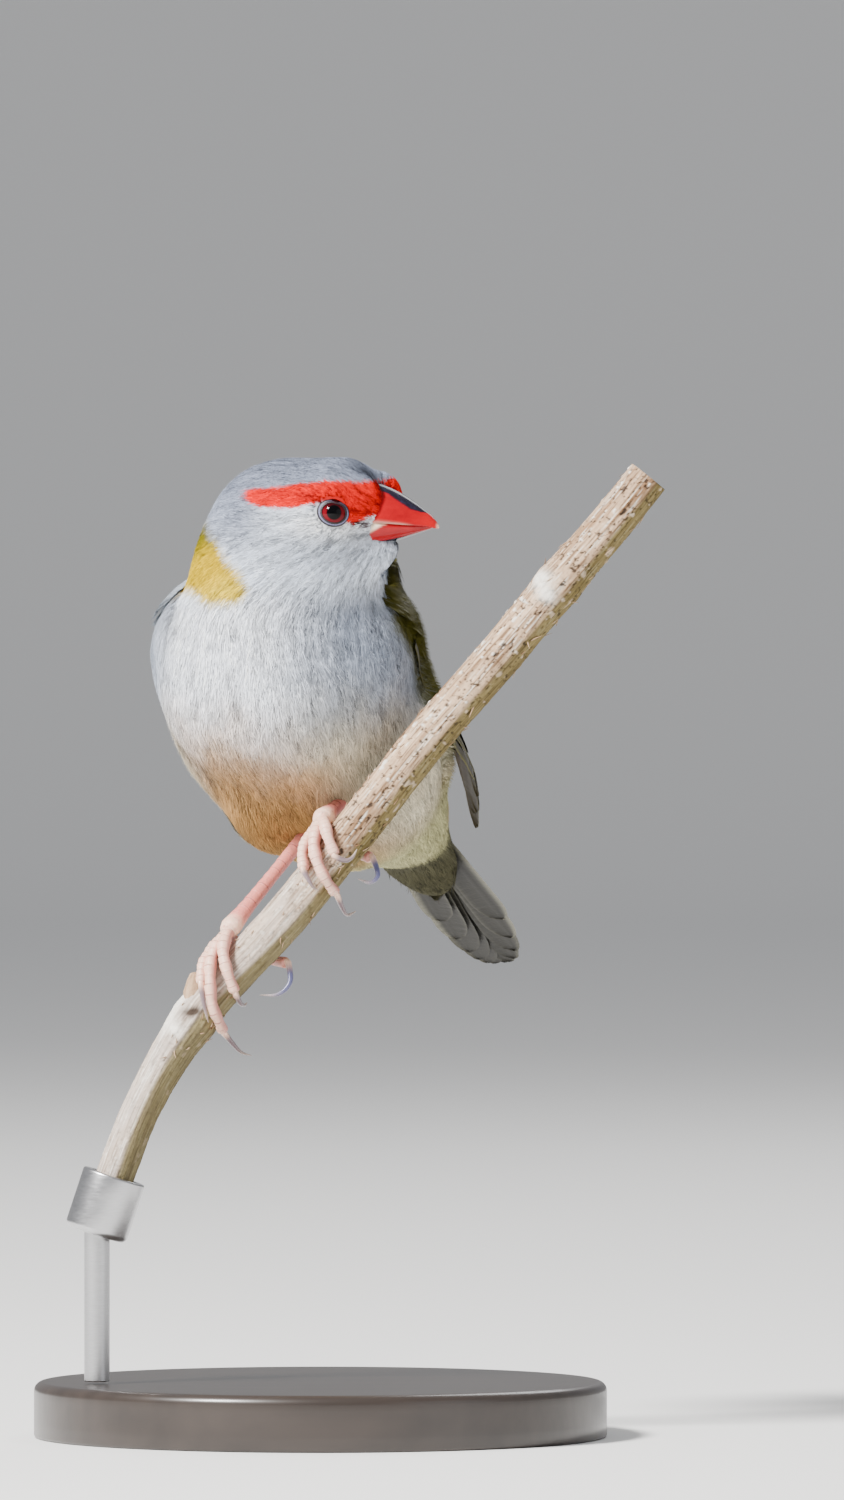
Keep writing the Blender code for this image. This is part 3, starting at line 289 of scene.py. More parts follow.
def make_piece(name, points, faces, material, tint=None, patch=None):
    """A mesh object in the row's frame from points in millimetres and arrays of faces."""
    points = np.asarray(points, np.float32).reshape(-1, 3)
    if isinstance(faces, np.ndarray):
        faces = [faces]
    loops = np.concatenate([group.reshape(-1) for group in faces]).astype(np.int32)
    totals = np.concatenate([np.full(len(group), group.shape[1]) for group in faces]).astype(np.int32)
    starts = np.concatenate([[0], np.cumsum(totals)[:-1]]).astype(np.int32)
    mesh = bpy.data.meshes.new(name)
    mesh.vertices.add(len(points))
    mesh.vertices.foreach_set("co", (points * METRES).reshape(-1))
    mesh.loops.add(len(loops))
    mesh.loops.foreach_set("vertex_index", loops)
    mesh.polygons.add(len(totals))
    mesh.polygons.foreach_set("loop_start", starts)
    mesh.polygons.foreach_set("loop_total", totals)
    mesh.update(calc_edges=True)
    mesh.shade_smooth()
    if tint is not None:
        colours = np.ones((len(points), 4), np.float32)
        colours[:, :3] = np.clip(np.asarray(tint, float).reshape(-1, 3), 0.0, 1.0)
        layer = mesh.color_attributes.new("Tint", "FLOAT_COLOR", "POINT")
        layer.data.foreach_set("color", colours.reshape(-1))
    if patch is not None:
        layer = mesh.uv_layers.new(name="OFBake")
        layer.data.foreach_set("uv", np.asarray(patch, np.float32)[loops].reshape(-1))
    mesh.materials.append(material)
    piece = bpy.data.objects.new(name, mesh)
    bpy.context.scene.collection.objects.link(piece)
    return piece


def settle(piece, slot, *nodes):
    """Fixes a piece to the model's one body and hides the imported parts that it stands for; the slot is
    not used.
    """
    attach(piece, "root")
    if nodes:
        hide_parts(*nodes)
    return piece


# Finishes coloured point by point: roughness, mottle and its grain, bump and its grain, other settings.
FINISHES = {
    "down": (0.85, 0.10, 1400.0, 0.3, 2500.0, {"Specular IOR Level": 0.2}),
    "small_feathers": (0.75, 0.05, 2600.0, 0.0, 1500.0, {"Specular IOR Level": 0.10}),
    "wing_vanes": (0.5, 0.06, 2200.0, 0.15, 3000.0, {"Specular IOR Level": 0.35}),
    "tail_vanes": (0.5, 0.06, 2200.0, 0.15, 3000.0, {"Specular IOR Level": 0.35}),
    "bill_horn": (0.20, 0.04, 1600.0, 0.05, 2600.0, {"Specular IOR Level": 0.30}),
    "eye_wet": (0.05, 0.02, 3000.0, 0.0, 1500.0, {"Specular IOR Level": 0.14}),
    "eye_ring_skin": (0.5, 0.06, 4000.0, 0.25, 6000.0, {}),
    "leg_skin": (0.42, 0.07, 2200.0, 0.25, 3500.0, {"Subsurface Weight": 0.12, "Subsurface Scale": 0.0008}),
    "claw_horn": (0.3, 0.05, 2500.0, 0.1, 3500.0, {"Coat Weight": 0.2, "Coat Roughness": 0.2}),
    "dry_bark": (0.85, 0.10, 1800.0, 0.5, 2600.0, {"Specular IOR Level": 0.2}),
}


def new_material(name, roughness, settings):
    """A material with its Principled shader and what is set on the shader's own sockets."""
    material = bpy.data.materials.new(name)
    material.use_nodes = True
    shader = material.node_tree.nodes["Principled BSDF"]
    shader.inputs["Roughness"].default_value = roughness
    for socket, value in settings.items():
        shader.inputs[socket].default_value = value
    return material, material.node_tree, shader


def add_node(tree, kind, links=None, **settings):
    """A node with its settings, and its inputs joined to the outputs or values given."""
    node = tree.nodes.new(kind)
    for key, value in settings.items():
        setattr(node, key, value)
    for socket, source in (links or {}).items():
        if hasattr(source, "is_output"):
            tree.links.new(source, node.inputs[socket])
        else:
            node.inputs[socket].default_value = source
    return node


def tinted_material(name):
    """A finish whose colour is worked out for each point, with a fine procedural mottle and bump."""
    roughness, mottle, grain, bump, bump_grain, settings = FINISHES[name]
    material, tree, shader = new_material(name, roughness, settings)
    tint = add_node(tree, "ShaderNodeAttribute", attribute_name="Tint")
    place = add_node(tree, "ShaderNodeTexCoord")
    speckle = add_node(tree, "ShaderNodeTexNoise", {
        "Vector": place.outputs["Object"], "Scale": grain, "Detail": 3.0,
    })
    spread = add_node(tree, "ShaderNodeMapRange", {
        "Value": speckle.outputs["Fac"], "From Min": 0.3, "From Max": 0.7,
        "To Min": 1.0 - mottle, "To Max": 1.0 + mottle,
    })
    colour = add_node(tree, "ShaderNodeVectorMath", {
        0: tint.outputs["Color"], "Scale": spread.outputs["Result"],
    }, operation="SCALE")
    tree.links.new(colour.outputs["Vector"], shader.inputs["Base Color"])
    if bump:
        relief = add_node(tree, "ShaderNodeTexNoise", {
            "Vector": place.outputs["Object"], "Scale": bump_grain, "Detail": 4.0,
        })
        raised = add_node(tree, "ShaderNodeBump", {
            "Height": relief.outputs["Fac"], "Strength": bump, "Distance": 0.0002,
        })
        tree.links.new(raised.outputs["Normal"], shader.inputs["Normal"])
    return material


def streaked_material(name, roughness, stretch, detail, colour, tones, settings):
    """A finish between two tones of one colour, streaked by noise; also its nodes and the noise."""
    material, tree, shader = new_material(name, roughness, settings)
    place = add_node(tree, "ShaderNodeTexCoord")
    drawn_out = add_node(tree, "ShaderNodeMapping", {"Vector": place.outputs["Object"], "Scale": stretch})
    streaks = add_node(tree, "ShaderNodeTexNoise", {
        "Vector": drawn_out.outputs["Vector"], "Scale": 1.0, "Detail": detail,
    })
    blend = add_node(tree, "ShaderNodeMix", {"Factor": streaks.outputs["Fac"]}, data_type="RGBA")
    for socket, tone in zip("AB", tones):
        blend.inputs[socket].default_value = (*[tone * value for value in colour], 1.0)
    tree.links.new(blend.outputs["Result"], shader.inputs["Base Color"])
    return material, tree, shader, streaks


# The skin: rings cast from a bent middle line, from under the tail over the back and breast to the crown.

AROUND = 128
SPINE_PITCH = 38.0
SPINE_MIDDLE = (-4.0, 0.9)
TAIL_PITCH = 35.0
TAIL_ROOT = (-25.0, -7.2)
PIVOT = in_torso(-21.0, 0.0, 17.0)
SPINE_START = in_torso(SPINE_MIDDLE[0], 0.0, SPINE_MIDDLE[1])
SPINE_AHEAD, _, SPINE_OVER = pitched(SPINE_PITCH)
TAIL_START = in_torso(TAIL_ROOT[0], 0.0, TAIL_ROOT[1])
TAIL_AHEAD, TAIL_SIDE, TAIL_OVER = pitched(TAIL_PITCH)
REAR_END = -44.0
REAR_LIFT = 5.4
NECK_AXIS = np.array([-3.4, -2.6])
HEAD_START = 108.9
COAT_DEPTH_BODY = 0.75
COAT_DEPTH_FACE = 0.22
BILL_ROOT = in_head(7.0, 0.0, 0.6)


def torso_ring(step_back):
    """Centre and two directions of a ring that lies this far along the torso, forward positive."""
    centre = SPINE_START + step_back * SPINE_AHEAD
    lift = REAR_LIFT * float(np.clip((-step_back - 6.0) / 30.0, 0.0, 1.1))
    return centre + lift * SPINE_OVER, LEFT, SPINE_OVER


def fan_ring(pitch):
    """A ring of the bend from torso to neck: its plane runs through a line behind the nape."""
    _, left, across = pitched(pitch)
    share = (pitch - SPINE_PITCH) / (90.0 - SPINE_PITCH)
    reach_start = np.dot(SPINE_START - PIVOT, -SPINE_OVER)
    neck_point = np.array([*NECK_AXIS, PIVOT[2]])
    reach_end = np.dot(neck_point - PIVOT, FORWARD)
    side_end = np.dot(neck_point - PIVOT, LEFT)
    turn = share * share * (3.0 - 2.0 * share)
    reach = reach_start + (reach_end - reach_start) * turn
    centre = PIVOT - across * reach + left * side_end * turn
    return centre, left, across


def neck_ring(height):
    """A level ring of the neck or head."""
    crown_share = np.clip((height - 107.0) / 14.0, 0.0, 1.0)
    skull = MASSES["skull"][0]
    middle = NECK_AXIS * (1 - crown_share) + skull[:2] * crown_share
    return np.array([middle[0], middle[1], height]), LEFT, -FORWARD


def spine_rings():
    """Every ring of the skin with the way of the middle line there."""
    start = torso_ring(REAR_END + 5.0)[0]
    end_reach = surface_reach(start[None], -SPINE_AHEAD[None], -COAT_DEPTH_BODY)[0]
    end = start - SPINE_AHEAD * end_reach
    last = np.dot(end - SPINE_START, SPINE_AHEAD) + 0.25
    rings = [(*torso_ring(back), SPINE_AHEAD) for back in last - last * np.linspace(0.0, 1.0, 46) ** 1.15]
    for pitch in np.linspace(SPINE_PITCH, 89.0, 44)[1:]:
        rings.append((*fan_ring(pitch), pitched(pitch)[0]))
    crown = MASSES["skull"][0]
    top = crown[2] + surface_reach(crown[None], UP[None], -COAT_DEPTH_FACE)[0]
    for height in np.linspace(PIVOT[2] + 0.4, HEAD_START, 6):
        rings.append((*neck_ring(height), UP))
    for share in np.linspace(0.0, 1.0, 46)[1:]:
        height = HEAD_START + (top - 0.04 - HEAD_START) * math.sin(share * math.pi / 2)
        rings.append((*neck_ring(height), UP))
    return rings, end, np.array([crown[0], crown[1], top])


def coat_depth(points):
    """How deep the feathers are at each point: shallow round the bill, deeper down the neck."""
    away = np.linalg.norm(points - BILL_ROOT, axis=-1)
    return COAT_DEPTH_FACE + (COAT_DEPTH_BODY - COAT_DEPTH_FACE) * eased(away, 5.0, 24.0)


class Skin:
    """The skin's grid of points with what the coat needs to know at each of them."""

    def __init__(self):
        rings, self.tail_pole, self.crown_pole = spine_rings()
        angles = np.linspace(0.0, 2 * math.pi, AROUND, endpoint=False)
        origins = []
        ways = []
        for centre, first, second, _ in rings:
            ways.append(np.outer(np.cos(angles), first) + np.outer(np.sin(angles), second))
            origins.append(np.repeat(centre[None], AROUND, axis=0))
        origins = np.array(origins)
        ways = np.array(ways)
        shape = origins.shape
        flat_origins = origins.reshape(-1, 3)
        flat_ways = ways.reshape(-1, 3)
        reach = surface_reach(flat_origins, flat_ways, 0.0)
        outer = flat_origins + flat_ways * reach[:, None]
        reach = surface_reach(flat_origins, flat_ways, -coat_depth(outer))
        self.points = (flat_origins + flat_ways * reach[:, None]).reshape(shape)
        self.spine = np.repeat(np.array([ring[3] for ring in rings])[:, None], AROUND, axis=1)
        steps = np.linalg.norm(np.diff(self.points, axis=0), axis=2).mean(axis=1)
        self.run = np.concatenate([[0.0], np.cumsum(steps)])
        closing = np.concatenate([self.points, self.points[:, :1]], axis=1)
        self.girth = np.linalg.norm(np.diff(closing, axis=1), axis=2).sum(axis=1)
        self.normals = body_normals(self.points)

    def unwrap(self, row, column):
        """Where a place on the skin lies in its flat unwrap, from 0 to 1 both ways."""
        span = 1.04 * max(self.run[-1], self.girth.max())
        rows = np.arange(len(self.run))
        across = (np.asarray(column) / AROUND - 0.5) * np.interp(row, rows, self.girth)
        return np.stack([0.02 + np.interp(row, rows, self.run) / span, 0.5 + across / span], axis=-1)

    def at(self, grid, row, column):
        """A value of the grid at places between its points."""
        low_row = np.clip(np.floor(row).astype(int), 0, len(grid) - 2)
        low_column = np.floor(column).astype(int) % AROUND
        next_column = (low_column + 1) % AROUND
        up = (row - low_row)[..., None]
        on = (column - np.floor(column))[..., None]
        low = grid[low_row, low_column] * (1 - on) + grid[low_row, next_column] * on
        high = grid[low_row + 1, low_column] * (1 - on) + grid[low_row + 1, next_column] * on
        return low * (1 - up) + high * up

    def scatter(self, count, rng):
        """Places spread evenly by area: rows and columns of the grid."""
        after = np.roll(self.points, -1, axis=1)
        along = np.linalg.norm(self.points[1:] - self.points[:-1], axis=2)
        across = np.linalg.norm(after[:-1] - self.points[:-1], axis=2)
        area = (along * across).reshape(-1)
        sums = np.cumsum(area)
        picked = np.searchsorted(sums, rng.random(count) * sums[-1])
        row = picked // AROUND + rng.random(count)
        column = picked % AROUND + rng.random(count)
        return row, column


def spaced(points, gaps):
    """Marks points, in their order, that keep at least their own gap from those marked before."""
    cell = float(np.max(gaps))
    table = {}
    kept = np.zeros(len(points), bool)
    cells = np.floor(points / cell).astype(int)
    near = [(i, j, k) for i in (-1, 0, 1) for j in (-1, 0, 1) for k in (-1, 0, 1)]
    for index in range(len(points)):
        x, y, z = points[index]
        gap = gaps[index] ** 2
        home = cells[index]
        free = True
        for i, j, k in near:
            for ox, oy, oz in table.get((home[0] + i, home[1] + j, home[2] + k), ()):
                if (ox - x) ** 2 + (oy - y) ** 2 + (oz - z) ** 2 < gap:
                    free = False
                    break
            if not free:
                break
        if free:
            kept[index] = True
            table.setdefault((home[0], home[1], home[2]), []).append((x, y, z))
    return kept


# Markings. Those of the head are placed as in the photo, 8 pixels to the millimetre, and mirrored.

PIXELS = 8.0
PIXEL_ORIGIN = (320.0, 1440.0)
BROW_TOP = {236.0: 497.0, 246.0: 490.0, 262.0: 488.5, 274.0: 488.0, 299.0: 485.0, 323.0: 483.0,
            346.0: 483.0, 362.0: 484.0, 378.0: 481.0, 392.0: 470.0, 410.0: 466.0}
BROW_BOTTOM = {236.0: 498.0, 250.0: 501.0, 262.0: 507.0, 290.0: 509.0, 312.0: 506.0, 322.0: 502.0,
               340.0: 506.0, 347.0: 523.0, 356.0: 526.0, 366.0: 520.0, 374.0: 516.0, 410.0: 515.0}
GAPE_SPOT = (362.0, 526.0)
COLLAR = ((206.0, 516.0), (160.0, 560.0), (160.0, 600.0), (190.0, 590.0), (200.0, 595.0), (212.0, 605.0),
          (233.0, 605.0), (246.0, 600.0), (254.0, 592.0), (246.0, 572.0), (232.0, 556.0), (217.0, 536.0))

SLATE = linear(122, 129, 146)
CHEEK = linear(186, 194, 207)
THROAT = linear(204, 212, 224)
BREAST = linear(216, 220, 227)
FLANK = linear(196, 188, 164)
# Grey of the sides, darkened with painted shade.
SIDE_GREY_AND_SHADE = linear(136, 146, 163)
BELLY = linear(170, 134, 92)
BELLY_LOW = linear(156, 116, 64)
VENT = linear(172, 168, 124)
UNDERTAIL_END = linear(50, 48, 36)
OLIVE = linear(100, 98, 30)
OLIVE_DARK = linear(74, 72, 26)
COLLAR_YELLOW = linear(180, 150, 0)
COLLAR_PALE = linear(218, 190, 58)
COLLAR_OLIVE = linear(100, 92, 0)
BRIGHT_RED = linear(206, 6, 2)
RUMP_RED = linear(196, 26, 16)
UNDER_EYE = linear(252, 253, 255)
DARK_SPOT = linear(60, 20, 18)


def mirrored_near(points):
    """Each point, or its mirror image across the head's middle plane if it is on the far side."""
    side = (points - HEAD) @ HEAD_SIDE
    return points + np.where(side < 0, -2.0 * side, 0.0)[..., None] * HEAD_SIDE


def in_pixels(points):
    """Where points show in the photo."""
    across = PIXEL_ORIGIN[0] + PIXELS * points[..., 0]
    down = PIXEL_ORIGIN[1] - PIXELS * points[..., 2]
    return across, down


def outline_distance(across, down, outline):
    """Signed distance in pixels from a closed outline, negative inside."""
    nearest = np.full(across.shape, 1e9)
    inside = np.zeros(across.shape, bool)
    corners = np.array(outline)
    for (x0, y0), (x1, y1) in zip(corners, np.roll(corners, -1, axis=0)):
        span = (x1 - x0) ** 2 + (y1 - y0) ** 2
        share = np.clip(((across - x0) * (x1 - x0) + (down - y0) * (y1 - y0)) / span, 0.0, 1.0)
        gap = np.hypot(across - x0 - share * (x1 - x0), down - y0 - share * (y1 - y0))
        nearest = np.minimum(nearest, gap)
        crosses = (y0 > down) != (y1 > down)
        if y1 != y0:
            inside ^= crosses & (across < (x1 - x0) * (down - y0) / (y1 - y0) + x0)
    return np.where(inside, -nearest, nearest)


def plumage_colour(points, normals):
    """The colour of the feathers that grow at each point."""
    near = mirrored_near(points)
    across, down = in_pixels(near)
    across = across + 1.3 * rough_noise(points / 0.9, 11, 2)
    down = down + 1.0 * rough_noise(points / 0.8, 17, 2)

    left = (points - TORSO) @ LEFT
    height = points[..., 2]
    along = (points - SPINE_START) @ SPINE_AHEAD
    shoulder = 0.26 * eased(height, 92.0, 97.0) * eased(-left, 6.0, 12.0)
    back_share = eased((normals * SPINE_OVER).sum(axis=-1) - shoulder, 0.02, 0.34)
    above_tail = (points - TAIL_START) @ TAIL_OVER
    rear = 1.0 - eased(along, -30.0, -24.0)
    level = 0.4 + 2.8 * eased(along, -40.0, -26.0)
    back_share = back_share * (1.0 - rear) + eased(above_tail - level, -0.4, 0.8) * rear
    below_rump = (1.0 - eased(above_tail, 1.2, 3.2)) * (1.0 - eased(along, -18.0, -12.0)) * (1.0 - rear)
    back_share = back_share * (1.0 - below_rump)
    patchy = rough_noise(points / 3.5, 23, 3)

    cloudy = rough_noise(points / 6.0, 27, 3)
    front = mixed(BELLY, BREAST, eased(height + 1.8 * patchy + 2.4 * cloudy, 80.5, 95.5))
    front = mixed(front, BELLY_LOW, 0.85 * (1.0 - eased(height + 1.6 * patchy, 75.0, 87.0)))
    # The sides are grey; on the bird's left the grey starts sooner and goes deeper as painted shade.
    sideways_and_shade = np.maximum(eased(-left - 0.5, 7.5, 15.0), 1.15 * eased(left, 3.0, 13.0))
    side_tone_and_shade = mixed(FLANK, SIDE_GREY_AND_SHADE, eased(height + 2.0 * patchy, 84.0, 97.0))
    front = mixed(front, side_tone_and_shade, np.clip((0.75 + 0.2 * cloudy) * sideways_and_shade, 0.0, 1.0))
    front = mixed(front, VENT, 1.0 - eased(along, -24.0, -13.0))
    front = mixed(front, UNDERTAIL_END, 0.9 * (1.0 - eased(along + 0.8 * patchy, -33.5, -30.5)))
    top = mixed(OLIVE, OLIVE_DARK, 0.5 + 0.5 * patchy)
    top = mixed(top, RUMP_RED, 1.0 - eased(along + 1.5 * patchy, -19.0, -15.0))
    body = mixed(front, top, back_share)

    nape = eased(-(points - HEAD) @ BILL_WAY, 3.0, 9.0)
    head = mixed(CHEEK, THROAT, eased(down, 548.0, 590.0))
    head = mixed(head, SLATE, 0.85 * nape * (1.0 - eased(down, 520.0, 566.0)))
    below_eye = np.exp(-(((across - 334.0) / 40.0) ** 2 + ((down - 524.0) / 15.0) ** 2))
    head = mixed(head, UNDER_EYE, 0.95 * below_eye)
    brow_top = table_value(BROW_TOP, across)
    brow_bottom = table_value(BROW_BOTTOM, across)
    crown = 1.0 - eased(down - brow_top, -2.5, 2.5)
    behind = 1.0 - eased(across, 236.0, 262.0)
    crown = np.maximum(crown, behind * (1.0 - eased(down, 488.0, 528.0)))
    head = mixed(head, SLATE, crown)
    stripe = eased(down - brow_top, -1.8, 1.2) * (1.0 - eased(down - brow_bottom, -1.6, 1.4))
    stripe = stripe * eased(across, 243.0, 253.0)
    head = mixed(head, BRIGHT_RED, stripe)
    spot = np.exp(-(((across - GAPE_SPOT[0]) / 11.0) ** 2 + ((down - GAPE_SPOT[1]) / 5.0) ** 2))
    speck = eased(rough_noise(points / 0.32, 29, 2), 0.55 - 0.9 * spot, 0.85 - 0.9 * spot)
    head = mixed(head, DARK_SPOT, 0.85 * speck * eased(spot, 0.15, 0.5))

    on_head = eased(height, 103.0, 108.0)
    nape_olive = back_share * (1.0 - eased(height, 103.0, 112.0))
    colour = mixed(body, head, on_head * (1.0 - nape_olive))
    collar = 1.0 - eased(outline_distance(across, down, COLLAR) + 4.0 * patchy, -9.0, 3.0)
    facing = eased((near - HEAD) @ HEAD_SIDE, -3.0, 1.0)
    lower_right = down + 0.5 * across + 7.0 * patchy
    yellow = mixed(COLLAR_OLIVE, COLLAR_YELLOW, eased(lower_right, 638.0, 666.0))
    yellow = mixed(yellow, COLLAR_PALE, 0.75 * eased(lower_right, 674.0, 712.0))
    return mixed(colour, yellow, collar * facing)


# The coat: small feathers, each a fan of barbs over a thin leaf, rooted on the skin.

COAT_SEED = 7
RISE_SEED = 100
FAN_SEED = 200
STREAK_SEED = 211
WING_SEED = 300
TAIL_SEED = 400
SPLINTER_SEED = 500
ROOT_TRIES = 140000


class Roots:
    """Where the small feathers grow, how each one lies and what colour it has."""

    def __init__(self, skin, settings):
        rng = np.random.default_rng(COAT_SEED)
        row, column = skin.scatter(ROOT_TRIES, rng)
        points = skin.at(skin.points, row, column)
        normals = unit(skin.at(skin.normals, row, column))
        away = np.linalg.norm(points - BILL_ROOT, axis=1)
        length = settings.feather_length * MILLIMETRES * table_value(FEATHER_SHARES, away)
        gaps = 0.06 + 0.125 * length
        kept = spaced(points, gaps)
        self.row = row[kept]
        self.column = column[kept]
        self.points = points[kept]
        self.normals = normals[kept]
        self.length = length[kept] * rng.uniform(0.85, 1.15, kept.sum())
        self.away = away[kept]
        self.patch = skin.unwrap(self.row, self.column)
        self.flow = self.lie(skin)
        self.length *= self.eye_gap(1.1, 0.45)
        from_tail = self.points - TAIL_START
        under_tail = from_tail @ TAIL_OVER < 0.0
        self.length *= 1.0 - 0.55 * eased(-(from_tail @ TAIL_AHEAD), 11.0, 18.0) * under_tail

    def lie(self, skin):
        """The way the feathers point: down the body, and on the head away from the bill."""
        spine = unit(skin.at(skin.spine, self.row, self.column))
        outward = unit(self.points - BILL_ROOT)
        on_head = eased(self.points[:, 2], 102.0, 109.0)[:, None]
        way = -spine * (1.0 - on_head) + outward * on_head
        sway = 0.16 * np.stack([smooth_noise(self.points / 5.0, 40 + axis) for axis in range(3)], axis=1)
        way = unit(way) + sway
        above = (self.points - TAIL_START) @ TAIL_OVER
        behind = (TAIL_START - self.points) @ TAIL_AHEAD
        way = way - (eased(behind, 4.0, 12.0) * np.clip(0.12 * above, -0.45, 0.35))[:, None] * TAIL_OVER
        for centre, outward in EYES.values():
            aside = self.points - centre
            aside = aside - (aside @ outward)[:, None] * outward
            gap = np.linalg.norm(aside, axis=1)
            facing = (self.points - centre) @ outward > 0
            push = 1.3 * np.exp(-np.maximum(gap - 1.9, 0.0) / 0.9) * facing
            way = way + push[:, None] * aside / np.maximum(gap, 1e-6)[:, None]
        way = way - (way * self.normals).sum(axis=1, keepdims=True) * self.normals
        return unit(way)

    def eye_gap(self, reach, least):
        """A share from least at the rim of an eye to one this far from it."""
        share = np.ones(len(self.points))
        for centre, outward in EYES.values():
            aside = self.points - centre
            away = aside @ outward
            gap = np.linalg.norm(aside - away[:, None] * outward, axis=1) - 1.9
            near = least + (1.0 - least) * np.clip(gap / reach, 0.0, 1.0)
            share = np.where(away > 0, np.minimum(share, near), share)
        return share


# How long feathers are, against one of the breast, by their distance from the bill.
FEATHER_SHARES = {
    0.0: 0.22, 3.0: 0.26, 7.0: 0.4, 12.0: 0.52, 20.0: 0.72, 30.0: 0.95, 45.0: 1.05, 80.0: 1.15,
}
BARBS_AT = {0.0: 12, 8.0: 15, 20.0: 20, 40.0: 24, 80.0: 26}
BARB_STATIONS = (0.0, 0.55, 1.0)
BARB_TONES = np.array([0.80, 0.80, 0.97, 0.97, 1.04])
FEATHER_WIDTH = 0.85
PATCH_WIDTH = 0.0012
PATCH_LENGTH = 0.0024
# The rows of a leaf: share of the feather's length, share of its width, tone.
LEAF_ROWS = ((0.0, 0.3, 0.70), (0.45, 0.85, 0.84), (0.8, 0.55, 0.90))
LEAF_PLACES = (-1.0, 0.0, 1.0)
LEAF_TIP = 0.06
HIGHEST = CAD_BOX[1][2] / METRES - 0.04


def on_surface(points, normals, heights, lengths):
    """Moves points along their normals until they lie at these heights over the outside of the body."""
    for _ in range(2):
        gap = np.clip(body_distance(points) - heights, -3.0, 0.22 * lengths)
        points = points - gap[..., None] * normals
    points[..., 2] = np.minimum(points[..., 2], HIGHEST)
    return points


COMB_STEPS = np.linspace(-1.5, 1.5, 7)
STREAK_WIDTH = 0.27
STREAK_TONE = 0.40
STREAK_RELIEF = 0.08


def combed(points, ways, seed):
    """Fine noise from about -1 to 1, drawn out along the feathers into hair-like streaks."""
    total = sum(smooth_noise((points + step * ways) / STREAK_WIDTH, seed) for step in COMB_STEPS)
    return np.clip(total / 1.7, -1.0, 1.0)


def ribbons(lines, normals, half_width, colours):
    """Flat pointed barbs along lines of three points."""
    ways = unit(np.gradient(lines, axis=2))
    across = np.cross(ways, np.broadcast_to(normals[:, :, None], ways.shape))
    reach = across[:, :, :2] * (half_width[..., None] * np.array([0.8, 1.0]))[..., None]
    low = lines[:, :, :2] - reach
    high = lines[:, :, :2] + reach
    points = np.stack([low[:, :, 0], high[:, :, 0], low[:, :, 1], high[:, :, 1], lines[:, :, 2]], axis=2)
    points = points.reshape(-1, 3)
    first = np.arange(len(points) // 5)[:, None] * 5
    faces = [first + np.array([0, 1, 3, 2]), first + np.array([2, 3, 4])]
    tint = colours[:, :, None] * BARB_TONES[:, None]
    return points, faces, tint.reshape(-1, 3)


def feather_fans(roots, barbs, width_share, seed, extra=None):
    """Points, faces, colours and patches of a coat of small feathers, each a fan of barbs."""
    points, normals, flow, lengths, patch, depth, rise = roots
    rng = np.random.default_rng(seed)
    count = len(points)
    side = np.cross(normals, flow)
    spread = np.linspace(-1.0, 1.0, barbs)[None, :] + rng.uniform(-0.7, 0.7, (count, barbs)) / barbs
    size = lengths[:, None]
    turn = rng.normal(0.0, 0.09, (count, 1)) + rng.normal(0.0, 0.05, (count, barbs))
    start = 0.05 + 0.25 * np.abs(spread)
    finish = 1.0 - 0.22 * spread ** 2 + rng.uniform(-0.30, 0.08, (count, barbs))
    half = 0.5 * width_share * size
    shaded = rng.uniform(0.90, 1.08, (count, barbs)) * rng.uniform(0.95, 1.05, (count, 1))
    dark = rng.random((count, barbs)) < 0.20
    shaded = np.where(dark, shaded * rng.uniform(0.60, 0.85, (count, barbs)), shaded)
    lift = rng.uniform(-0.03, 0.04, (count, barbs))
    all_lines = []
    ways = np.broadcast_to(flow[:, None], (count, barbs, 3))
    middle = points[:, None] + 0.7 * size[..., None] * ways + (half * spread)[..., None] * side[:, None]
    streak = combed(middle, ways, STREAK_SEED)
    lift = lift + STREAK_RELIEF * streak * np.clip(size / 3.0, 0.3, 1.0)
    shaded = shaded * (1.0 + STREAK_TONE * streak - 0.5 * STREAK_TONE * eased(-streak, 0.25, 0.9))
    for share in BARB_STATIONS:
        ahead = size * (start + (finish - start) * share)
        aside = half * spread * (0.3 + 0.7 * share ** 0.8) + ahead * turn * share
        place = points[:, None] + ahead[..., None] * flow[:, None] + aside[..., None] * side[:, None]
        climb = -depth[:, None] * (1.0 - share) ** 2.2 + rise[:, None] * share
        climb = climb + (lift - 0.04 * size * spread ** 2) * share
        if extra is not None:
            climb = climb + extra(place) * share
        wide_normals = np.broadcast_to(normals[:, None], place.shape)
        all_lines.append(on_surface(place, wide_normals, climb, size))
    lines = np.stack(all_lines, axis=2)
    jitter = rng.normal(0.0, 0.10, (count, barbs, 3))
    wide_normals = np.broadcast_to(normals[:, None], jitter.shape)
    colours = plumage_colour(lines[:, :, 1] + jitter, wide_normals)
    half_width = np.broadcast_to((0.040 + 0.009 * lengths)[:, None], spread.shape)
    barb_points, faces, tint = ribbons(lines, wide_normals, half_width, colours * shaded[..., None])
    share_along = np.array([0.0, 0.0, 0.55, 0.55, 1.0])
    local = np.broadcast_arrays(PATCH_WIDTH * spread[:, :, None], PATCH_LENGTH * (share_along - 0.5))
    patches = patch[:, None, None] + np.stack(local, axis=-1)
    return barb_points, faces, tint, patches.reshape(-1, 2)


